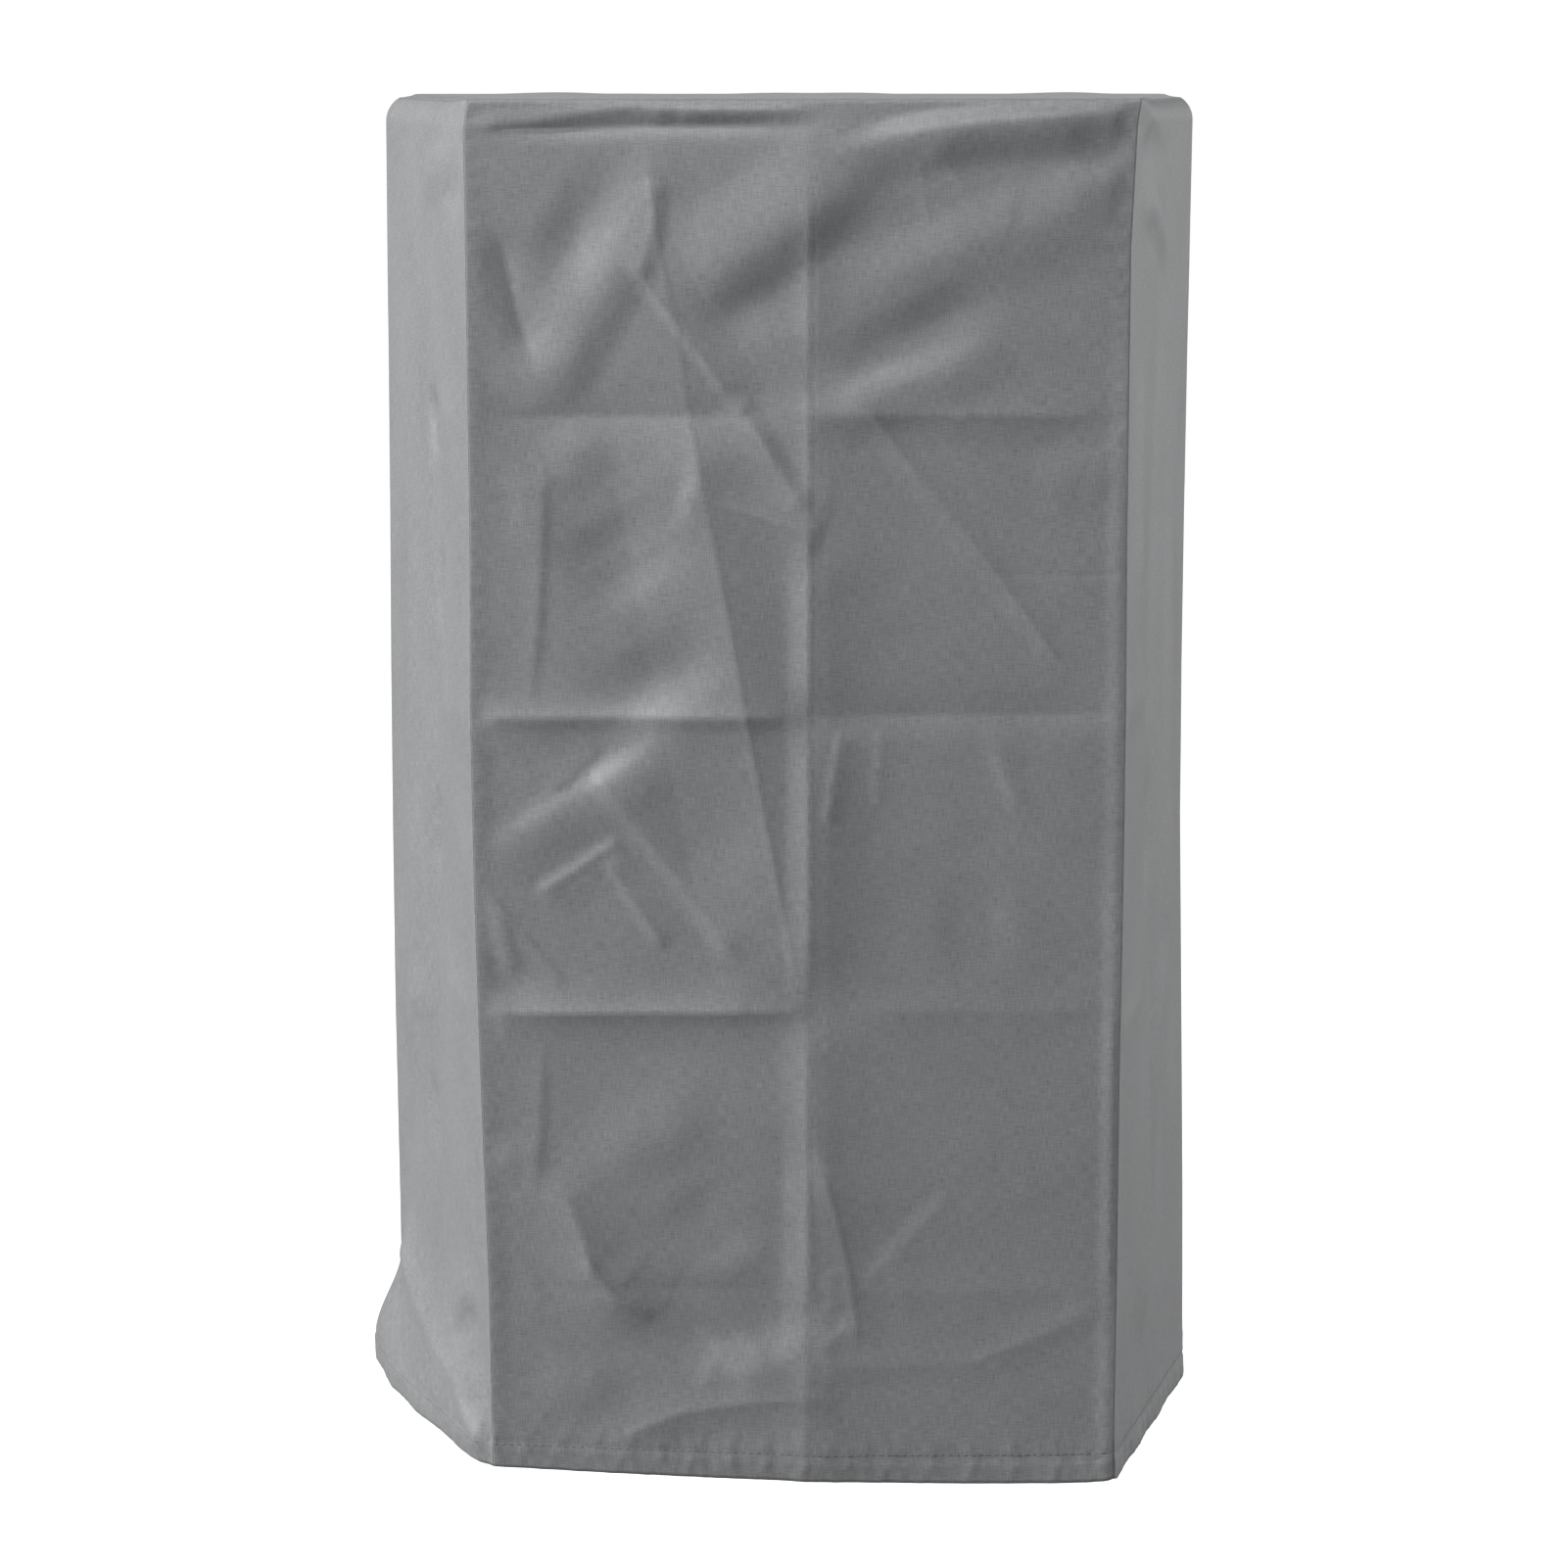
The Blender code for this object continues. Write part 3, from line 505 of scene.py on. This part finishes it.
def wall(side, across, drop):
    """Outer surface of the walls: place, outward normal, tangent along the panel, tangent up."""
    places = corners(drop)
    start, end = places[side], places[(side + 1) % 4]
    before, after = places[(side - 1) % 4], places[(side + 2) % 4]
    radii = (FRONT_CORNER, FRONT_CORNER, REAR_CORNER, REAR_CORNER)

    def unit(a, b):
        return (b - a) / np.linalg.norm(b - a, axis=-1, keepdims=True)

    run = unit(start, end)
    turn_in = np.arccos(np.clip(np.sum(unit(before, start) * run, axis=-1), -1.0, 1.0))
    turn_out = np.arccos(np.clip(np.sum(run * unit(end, after), axis=-1), -1.0, 1.0))
    out = np.stack([run[..., 1], -run[..., 0]], axis=-1)
    r_in, r_out = radii[side], radii[(side + 1) % 4]
    first = start + run * (r_in * np.tan(turn_in / 2.0))[..., None]
    last = end - run * (r_out * np.tan(turn_out / 2.0))[..., None]
    lead_in = np.clip(1.0 - across, 0.0, 1.0)
    lead_out = np.clip(across - 2.0, 0.0, 1.0)
    angle = (lead_out * turn_out - lead_in * turn_in) / 2.0
    cos, sin = np.cos(angle)[..., None], np.sin(angle)[..., None]
    normal = out * cos + run * sin
    radius = np.where(across < 1.5, r_in, r_out)[..., None]
    base = first + (last - first) * np.clip(across - 1.0, 0.0, 1.0)[..., None]
    plan = base + (normal - out) * radius

    r = shoulder_radius(side, across)
    straight = SHOULDER_BAND * MM + TOP_SKIN - r
    climbed = np.clip(1.0 - drop / SHOULDER_BAND, 0.0, 1.0) * (straight + r * SEAM_ANGLE)
    tilt = np.clip((climbed - straight) / r, 0.0, SEAM_ANGLE)
    z = -SHOULDER_BAND * MM + np.minimum(climbed, straight) + r * np.sin(tilt)
    hem = hem_drop(side, across)
    stretch = (hem - HEM_BAND_TOP) / (HEM_LEVEL - HEM_BAND_TOP)
    stretched = HEM_BAND_TOP + (drop - HEM_BAND_TOP) * stretch
    z = np.where(drop <= SHOULDER_BAND, z, -np.where(drop > HEM_BAND_TOP, stretched, drop) * MM)

    x_along = plan[..., 0] / MM
    if side in (RIGHT, LEFT):
        t = np.clip(across - 1.0, 0.0, 1.0)
        x_along = SIDE_LENGTH * (t if side == RIGHT else 1.0 - t)
    lift = panel_lift(side, x_along, z / MM, across, hem) + flare_lift(side, across, z / MM)
    plan = plan + normal * (lift * MM - r * (1.0 - np.cos(tilt)))[..., None]
    place = np.concatenate([plan, z[..., None]], axis=-1)
    flat = np.concatenate([normal, np.zeros_like(z)[..., None]], axis=-1)
    up = np.zeros_like(place)
    up[..., 2] = 1.0
    lean, rise = np.sin(tilt)[..., None], np.cos(tilt)[..., None]
    along = np.stack([-normal[..., 1], normal[..., 0], np.zeros_like(z)], axis=-1)
    return place, flat * rise + up * lean, along, up * rise - flat * lean


# %% [markdown]
# Each sheet is a grid laid on that function, and a coarser grid a cloth's thickness inside
# it closes the sheet. Solidify would give the same thickness, but it would copy the fine
# outside to the inside, where nobody sees the creases, and double the faces.

# %% Grid stations
FINE = 2.0
SIDE_STEP = 2.6
BACK_STEP = 6.0
ROW_STEP = 2.6
INNER_SKIP = 4
LEVEL_CREASES = (162.0, 321.5, 484.0, 643.0)


def stations(stops, step):
    """Evenly spaced stations between fixed stops, about a step apart."""
    places = [stops[0]]
    for low, high in zip(stops, stops[1:]):
        count = max(1, round((high - low) / step))
        places += list(np.linspace(low, high, count + 1)[1:])
    return np.array(places)


def columns(side, step):
    """Where the grid's columns stand across one panel."""
    front_half, rear_half = np.linspace(0.0, 1.0, 5), np.linspace(0.0, 1.0, 13)
    low, high = LEVELS[4].front_left, LEVELS[4].front_right
    if side == FRONT:
        middle = 1.0 + (stations((low, MIDDLE, high), step) - low) / (high - low)
        return np.concatenate([front_half, middle[1:], 2.0 + front_half[1:]])
    length = SIDE_LENGTH if side in (RIGHT, LEFT) else LEVELS[4].rear_right - LEVELS[4].rear_left
    middle = 1.0 + stations((0.0, length), step) / length
    lead_in = front_half if side == RIGHT else rear_half
    lead_out = front_half if side == LEFT else rear_half
    return np.concatenate([lead_in, middle[1:], 2.0 + lead_out[1:]])


def rows(step):
    """How far the grid's rows lie below the top seam."""
    top = np.linspace(0.0, SHOULDER_BAND, 13)
    stops = (SHOULDER_BAND, *LEVEL_CREASES, HEM_BAND_TOP, HEM_LEVEL - HEM_DEPTH, HEM_LEVEL)
    return np.concatenate([top, stations(stops, step)[1:]])


print("front grid:", len(columns(FRONT, FINE)), "by", len(rows(FINE)))


# %% Sheet from places
def grid_faces(mesh, places):
    """A grid of faces whose vertices stand at these places; returns its vertices and rim."""
    row_count, column_count = places.shape[:2]
    spans = {"x_segments": column_count - 1, "y_segments": row_count - 1}
    made = bmesh.ops.create_grid(mesh, **spans, size=1.0)
    for vertex, place in zip(made["verts"], places.reshape(-1, 3)):
        vertex.co = place
    faces = {face for vertex in made["verts"] for face in vertex.link_faces}
    rim = [edge for edge in {e for face in faces for e in face.edges} if edge.is_boundary]
    return made["verts"], faces, rim


def thinned(count, skip):
    """Every so many indices, and always the first and the last."""
    return np.unique(np.append(np.arange(0, count, skip), count - 1))


def make_sheet(name, places, normals, chart, wear):
    """A closed cloth sheet with its outside on the fine grid, and a chart of the flat cloth."""
    mesh = bmesh.new()
    _, _, outer_rim = grid_faces(mesh, places)
    pick = np.ix_(thinned(places.shape[0], INNER_SKIP), thinned(places.shape[1], INNER_SKIP))
    inner_places = (places - normals * CLOTH)[pick]
    inner, inner_faces, inner_rim = grid_faces(mesh, inner_places)
    bmesh.ops.reverse_faces(mesh, faces=list(inner_faces))
    bmesh.ops.bridge_loops(mesh, edges=outer_rim + inner_rim)
    bmesh.ops.recalc_face_normals(mesh, faces=mesh.faces[:])
    mesh.verts.index_update()
    where = np.concatenate([chart.reshape(-1, 2), chart[pick].reshape(-1, 2)])
    worn = np.concatenate([wear.reshape(-1), np.zeros(len(inner))])
    data = bpy.data.meshes.new(name)
    mesh.to_mesh(data)
    mesh.free()
    corner_verts = np.empty(len(data.loops), dtype=np.int32)
    data.loops.foreach_get("vertex_index", corner_verts)
    data.uv_layers.new(name="cloth").data.foreach_set("uv", where[corner_verts].ravel())
    data.attributes.new("crease_wear", "FLOAT", "POINT").data.foreach_set("value", worn)
    data.shade_smooth()
    piece = bpy.data.objects.new(name, data)
    bpy.context.collection.objects.link(piece)
    print(name, len(data.polygons), "faces")
    return piece


# %% [markdown]
# The chart gives every point its place on the flat cloth in metres, so the weave runs true
# round the corners. Wear is how sharply a crease bends there: the coating whitens on it.


# %% Front panel and wrap
def wear_map(side, x, z):
    """Where the coating has cracked and gone pale, from 0 to 1."""
    wear = np.zeros_like(x)
    for fold in LINES if side == FRONT else ():
        wear += np.abs(fold_lift(fold._replace(left=2.2, right=2.2, rise=1.0), x, z))
    return np.clip(wear, 0.0, 1.0)


def wall_sheet(name, sides, steps):
    """One length of wall cloth that covers these sides."""
    drops = rows(FINE if sides == (FRONT,) else ROW_STEP)
    fields = []
    for side, step in zip(sides, steps):
        across = columns(side, step)
        across = across if side == sides[0] else across[1:]
        grid = np.meshgrid(across, drops)
        place, normal, along, up = wall(side, *grid)
        wear = wear_map(side, place[..., 0] / MM, place[..., 2] / MM)
        fields.append((place, normal, along, up, wear))
    place, normal, along, up, wear = (np.concatenate(field, axis=1) for field in zip(*fields))
    middle_row = place[len(drops) // 2]
    steps_along = np.linalg.norm(np.diff(middle_row, axis=0), axis=1)
    u = np.concatenate([[0.0], np.cumsum(steps_along)])
    chart = np.stack(np.meshgrid(u, -drops * MM), axis=-1)
    place[:, 0] += along[:, 0] * SEAM_GAP / 2.0
    place[:, -1] -= along[:, -1] * SEAM_GAP / 2.0
    place[0] -= up[0] * SEAM_GAP / 2.0
    return make_sheet(name, place, normal, chart, wear)


front = wall_sheet("front_cloth", (FRONT,), (FINE,))
wrap = wall_sheet("wrap_cloth", (RIGHT, BACK, LEFT), (SIDE_STEP, BACK_STEP, SIDE_STEP))

# %% [markdown]
# The top lies flat on what it covers. Its grid blends the four seam lines into each other,
# a Coons patch, so its rim has the same points as the walls it is sewn to.

# %% Top panel
TOP_STEP = 4.0
TOP_RIPPLE = 0.5


def share(line):
    """How far along a line each of its points lies, from 0 to 1."""
    steps = np.linalg.norm(np.diff(line, axis=0), axis=1)
    return np.concatenate([[0.0], np.cumsum(steps)]) / steps.sum()


def top_sheet():
    """The top panel on the seam lines of the walls."""
    edges, facing = [], []
    across_count = len(columns(FRONT, TOP_STEP)), len(columns(RIGHT, TOP_STEP))
    for side in (FRONT, RIGHT, BACK, LEFT):
        across = columns(side, TOP_STEP)
        wanted = across_count[0] if side in (FRONT, BACK) else across_count[1]
        evenly, before = np.linspace(0.0, 1.0, wanted), np.linspace(0.0, 1.0, len(across))
        across = np.interp(evenly, before, across)
        place, normal, _, up = wall(side, across, np.zeros_like(across))
        edges.append(place + up * SEAM_GAP / 2.0)
        facing.append(normal)
    south, east, north, west = edges[0], edges[1], edges[2][::-1], edges[3][::-1]
    a = ((share(south) + share(north)) / 2.0)[None, :, None]
    b = ((share(west) + share(east)) / 2.0)[:, None, None]
    place = (1 - b) * south[None] + b * north[None] + (1 - a) * west[:, None] + a * east[:, None]
    near_corners = (1 - a) * (1 - b) * south[0] + a * (1 - b) * south[-1]
    far_corners = (1 - a) * b * north[0] + a * b * north[-1]
    place -= near_corners + far_corners
    x, y = place[..., 0] / MM, place[..., 1] / MM
    broad, small = np.sin(x / 23.0 + 1.0) * np.sin(y / 31.0), np.sin(x / 9.0 + y / 14.0)
    ripple = TOP_RIPPLE * MM * (1.2 + broad + 0.4 * small)
    from_sides, from_ends = np.minimum(b, 1 - b)[..., 0], np.minimum(a, 1 - a)[..., 0]
    inside = smooth(from_sides / 0.25) * smooth(from_ends / 0.15)
    edge_heights = place[..., 2].copy()
    rise = smooth(from_sides / 0.03) * smooth(from_ends / 0.02)
    place[..., 2] = edge_heights * (1.0 - rise) + TOP_SKIN * rise + ripple * inside
    normal = np.zeros_like(place)
    normal[..., 2] = 1.0
    normal[0], normal[:, -1] = facing[0], facing[1]
    normal[-1], normal[:, 0] = facing[2][::-1], facing[3][::-1]
    chart = place[..., :2].copy()
    return make_sheet("top_cloth", place, normal, chart, np.zeros(place.shape[:2]))


top = top_sheet()

# %% [markdown]
# The hem is sewn with a lockstitch in grey thread. One stitch is a short bead of thread that
# dives into the cloth at both ends, and a loop lays one after another along the hem line of
# each sheet, a few dozen faces each, joined into one mesh for each length of cloth.

# %% Hem stitches
STITCH_PITCH = 4.25 * MM
STITCH_LENGTH = 3.5 * MM
THREAD = 0.42 * MM
THREAD_SUNK = 0.18
STITCH_TILT = 0.10
SEAM_MARGIN = 0.02


def stitch_run(name, sides):
    """Stitches along the hem line of these sides."""
    spots, outs = [], []
    for side in sides:
        first = SEAM_MARGIN if side == sides[0] else 0.0
        last = 3.0 - SEAM_MARGIN if side == sides[-1] else 3.0
        across = np.linspace(first, last, 1500)
        drop = np.full_like(across, HEM_LEVEL - HEM_DEPTH)
        place, normal, _, _ = wall(side, across, drop)
        spots.append(place)
        outs.append(normal)
    spots, outs = np.concatenate(spots), np.concatenate(outs)
    run = np.concatenate([[0.0], np.cumsum(np.linalg.norm(np.diff(spots, axis=0), axis=1))])
    count = int(run[-1] / STITCH_PITCH)
    mesh = bmesh.new()
    for index in range(count):
        middle = (index + 0.5) * run[-1] / count
        at = np.array([np.interp(middle, run, spots[:, k]) for k in range(3)])
        ahead = np.array([np.interp(middle + 0.5 * MM, run, spots[:, k]) for k in range(3)])
        out = Vector([np.interp(middle, run, outs[:, k]) for k in range(3)]).normalized()
        way = Vector(ahead - at).normalized()
        tilt = STITCH_TILT * math.sin(index * 2.4)
        way = (Matrix.Rotation(tilt, 3, out) @ way).normalized()
        turn = Matrix((way, out.cross(way), out)).transposed().to_4x4()
        shape = Matrix.Diagonal((STITCH_LENGTH / 2.0, THREAD / 2.0, THREAD / 2.0, 1.0))
        place = Matrix.Translation(Vector(at) + out * THREAD * THREAD_SUNK) @ turn @ shape
        bmesh.ops.create_uvsphere(mesh, u_segments=6, v_segments=4, radius=1.0, matrix=place)
    data = bpy.data.meshes.new(name)
    mesh.to_mesh(data)
    mesh.free()
    data.shade_smooth()
    piece = bpy.data.objects.new(name, data)
    bpy.context.collection.objects.link(piece)
    print(name, count, "stitches")
    return piece


front_stitches = stitch_run("front_hem_stitches", (FRONT,))
wrap_stitches = stitch_run("wrap_hem_stitches", (RIGHT, BACK, LEFT))

# %% [markdown]
# The cloth is a plain weave of flat polyester yarn, coated inside. From a step away it is a
# satin grey with fine streaks where a yarn is thicker. The weave is a bump from two sets of
# yarn, and the streaks are noise stretched along each set, all in metres on the flat cloth.

# %% Cloth material
CLOTH_GREY = (0.204, 0.208, 0.214, 1.0)
WORN_GREY = (0.40, 0.405, 0.41, 1.0)
WORN_SHARE = 0.10
YARN = 0.45 * MM


class Net:
    """Short calls to add and join the nodes of one material."""

    def __init__(self, name):
        self.material = bpy.data.materials.new(name)
        self.material.use_nodes = True
        self.tree = self.material.node_tree
        self.shader = self.tree.nodes["Principled BSDF"]

    def add(self, kind, inputs=(), **settings):
        node = self.tree.nodes.new(kind)
        for key, value in settings.items():
            setattr(node, key, value)
        for key, value in dict(inputs).items():
            if isinstance(value, bpy.types.NodeSocket):
                self.tree.links.new(value, node.inputs[key])
            else:
                node.inputs[key].default_value = value
        return node

    def math(self, operation, a, b=0.0):
        return self.add("ShaderNodeMath", {0: a, 1: b}, operation=operation).outputs[0]

    def mix_colours(self, factor, a, b, blend):
        """Sockets 0, 6 and 7 of a Mix node are its factor and its two colours, 2 its result."""
        node = self.add("ShaderNodeMix", data_type="RGBA", blend_type=blend)
        for index, value in ((0, factor), (6, a), (7, b)):
            if isinstance(value, bpy.types.NodeSocket):
                self.tree.links.new(value, node.inputs[index])
            else:
                node.inputs[index].default_value = value
        return node.outputs[2]

    def stretched_noise(self, chart, scale, detail):
        place = self.add("ShaderNodeMapping", {"Vector": chart, "Scale": scale}).outputs[0]
        noise = self.add("ShaderNodeTexNoise", {"Vector": place, "Scale": 1.0, "Detail": detail})
        return noise.outputs["Fac"]


def cloth_material(name, seed):
    """Coated plain-weave polyester with streaks, faint mottling and pale cracks."""
    net = Net(name)
    chart = net.add("ShaderNodeUVMap", uv_map="cloth").outputs[0]
    apart = net.add("ShaderNodeSeparateXYZ", {0: chart})
    warp = net.math("SINE", net.math("MULTIPLY", apart.outputs[0], math.pi / YARN))
    weft = net.math("SINE", net.math("MULTIPLY", apart.outputs[1], math.pi / YARN))
    over = net.math("MULTIPLY", warp, weft)
    weave = net.math("ADD", net.math("ABSOLUTE", warp), net.math("ABSOLUTE", weft))
    weave = net.math("ADD", weave, net.math("MULTIPLY", over, 0.6))
    slub_weft = net.stretched_noise(chart, (140.0, 1900.0, 1.0), 2.0)
    slub_warp = net.stretched_noise(chart, (1900.0, 140.0, 1.0), 2.0)
    mottle = net.stretched_noise(chart, (22.0 + seed, 16.0, 1.0), 3.0)
    streaks = net.math("ADD", slub_weft, slub_warp)
    relief = net.math("ADD", net.math("MULTIPLY", weave, 0.26), net.math("MULTIPLY", streaks, 0.8))
    bump = net.add("ShaderNodeBump", {"Height": relief, "Distance": 0.00012, "Strength": 0.7})
    tone = net.math("MULTIPLY", net.math("SUBTRACT", streaks, 1.0), 0.85)
    tone = net.math("ADD", tone, net.math("MULTIPLY", net.math("SUBTRACT", mottle, 0.5), 0.22))
    tone = net.math("ADD", tone, 1.0)
    shade = net.mix_colours(1.0, CLOTH_GREY, tone, "MULTIPLY")
    worn = net.add("ShaderNodeAttribute", attribute_name="crease_wear", attribute_type="GEOMETRY")
    cracked = net.math("MULTIPLY", worn.outputs["Fac"], WORN_SHARE)
    pale = net.mix_colours(cracked, shade, WORN_GREY, "MIX")
    rough = net.math("ADD", net.math("MULTIPLY", mottle, 0.10), 0.45)
    net.tree.links.new(pale, net.shader.inputs["Base Color"])
    net.tree.links.new(rough, net.shader.inputs["Roughness"])
    net.tree.links.new(bump.outputs[0], net.shader.inputs["Normal"])
    net.shader.inputs["Specular IOR Level"].default_value = 0.75
    net.shader.inputs["Sheen Weight"].default_value = 0.12
    net.shader.inputs["Sheen Roughness"].default_value = 0.4
    return net.material


def thread_material():
    """Grey polyester thread with the twist of its plies."""
    net = Net("hem_thread")
    place = net.add("ShaderNodeTexCoord").outputs["Object"]
    twist = net.add("ShaderNodeTexWave", {"Vector": place, "Scale": 900.0, "Distortion": 1.5})
    shades = {"Value": twist.outputs["Fac"], "To Min": 0.13, "To Max": 0.24}
    tone = net.add("ShaderNodeMapRange", shades)
    net.tree.links.new(tone.outputs[0], net.shader.inputs["Base Color"])
    net.shader.inputs["Roughness"].default_value = 0.6
    bump = net.add("ShaderNodeBump", {"Height": twist.outputs["Fac"], "Distance": 0.00005})
    net.tree.links.new(bump.outputs[0], net.shader.inputs["Normal"])
    return net.material


front.data.materials.append(cloth_material("front_polyester", 0.0))
wrap.data.materials.append(cloth_material("wrap_polyester", 3.0))
top.data.materials.append(cloth_material("top_polyester", 5.0))
thread = thread_material()
for stitches in (front_stitches, wrap_stitches):
    stitches.data.materials.append(thread)
print("materials:", [m.name for m in bpy.data.materials if m.users])

# %% [markdown]
# Everything is one body, and each sheet hides the solid of its panel.

for piece, node, slot in (
    (front, "front_panel", "front_cloth"),
    (wrap, "side_back_wrap", "wrap_cloth"),
    (top, "top_panel", "top_cloth"),
):
    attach(piece, "root")
    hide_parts(node)
for piece, slot in ((front_stitches, "front_cloth"), (wrap_stitches, "wrap_cloth")):
    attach(piece, "root")

# %% [markdown]
# A plain pale studio: a floor a little under the hem, a large soft light at each side, the
# left one stronger, and a soft light overhead towards the camera. Low side light is what
# makes shallow folds read on a flat grey cloth.

# %% Studio
FLOOR_LEVEL = -0.95


def soft_light(name, place, aim, size, power):
    light = bpy.data.lights.new(name, "AREA")
    light.shape = "RECTANGLE"
    light.size, light.size_y = size
    light.energy = power
    lamp = bpy.data.objects.new(name, light)
    lamp.location = place
    lamp.rotation_euler = (Vector(aim) - Vector(place)).to_track_quat("-Z", "Y").to_euler()
    bpy.context.collection.objects.link(lamp)


soft_light("left_softbox", (-3.3, -1.30, 1.35), (0.0, -0.05, -0.40), (1.0, 1.0), 208.0)
soft_light("right_rear_softbox", (2.6, 0.75, 0.2), (0.1, 0.0, -0.40), (1.2, 2.0), 44.0)
soft_light("overhead_softbox", (-0.2, -1.8, 2.3), (0.0, -0.1, -0.20), (1.2, 0.8), 42.0)

world = bpy.data.worlds.new("studio")
world.use_nodes = True
backdrop = world.node_tree.nodes["Background"]
tree = world.node_tree
rays = tree.nodes.new("ShaderNodeLightPath")
way = tree.nodes.new("ShaderNodeTexCoord")
parts = tree.nodes.new("ShaderNodeSeparateXYZ")
behind = tree.nodes.new("ShaderNodeMapRange")
strength = tree.nodes.new("ShaderNodeMix")
tree.links.new(way.outputs["Generated"], parts.inputs[0])
tree.links.new(parts.outputs["Y"], behind.inputs["Value"])
tree.links.new(rays.outputs["Is Camera Ray"], strength.inputs["Factor"])
tree.links.new(behind.outputs[0], strength.inputs["A"])
tree.links.new(strength.outputs[0], backdrop.inputs["Strength"])
behind.inputs["From Min"].default_value = -0.1
behind.inputs["From Max"].default_value = 0.5
behind.inputs["To Min"].default_value = 0.06
behind.inputs["To Max"].default_value = 0.28
strength.inputs["B"].default_value = 1.0
backdrop.inputs["Color"].default_value = (1.0, 1.0, 1.0, 1.0)
bpy.context.scene.world = world
bpy.context.scene.view_settings.view_transform = "Standard"
bpy.context.scene.view_settings.look = "None"

floor_mesh = bmesh.new()
bmesh.ops.create_grid(floor_mesh, x_segments=1, y_segments=1, size=6.0)
bmesh.ops.translate(floor_mesh, verts=floor_mesh.verts[:], vec=(0.0, 0.0, FLOOR_LEVEL))
floor_data = bpy.data.meshes.new("studio_floor")
floor_mesh.to_mesh(floor_data)
floor_mesh.free()
floor = bpy.data.objects.new("studio_floor", floor_data)
bpy.context.collection.objects.link(floor)
pale = Net("pale_floor")
pale.shader.inputs["Base Color"].default_value = (0.30, 0.30, 0.30, 1.0)
pale.shader.inputs["Roughness"].default_value = 0.9
pale.shader.inputs["Emission Color"].default_value = (1.0, 1.0, 1.0, 1.0)
seen = pale.add("ShaderNodeLightPath").outputs["Is Camera Ray"]
pale.tree.links.new(seen, pale.shader.inputs["Emission Strength"])
floor_data.materials.append(pale.material)
print("studio ready")
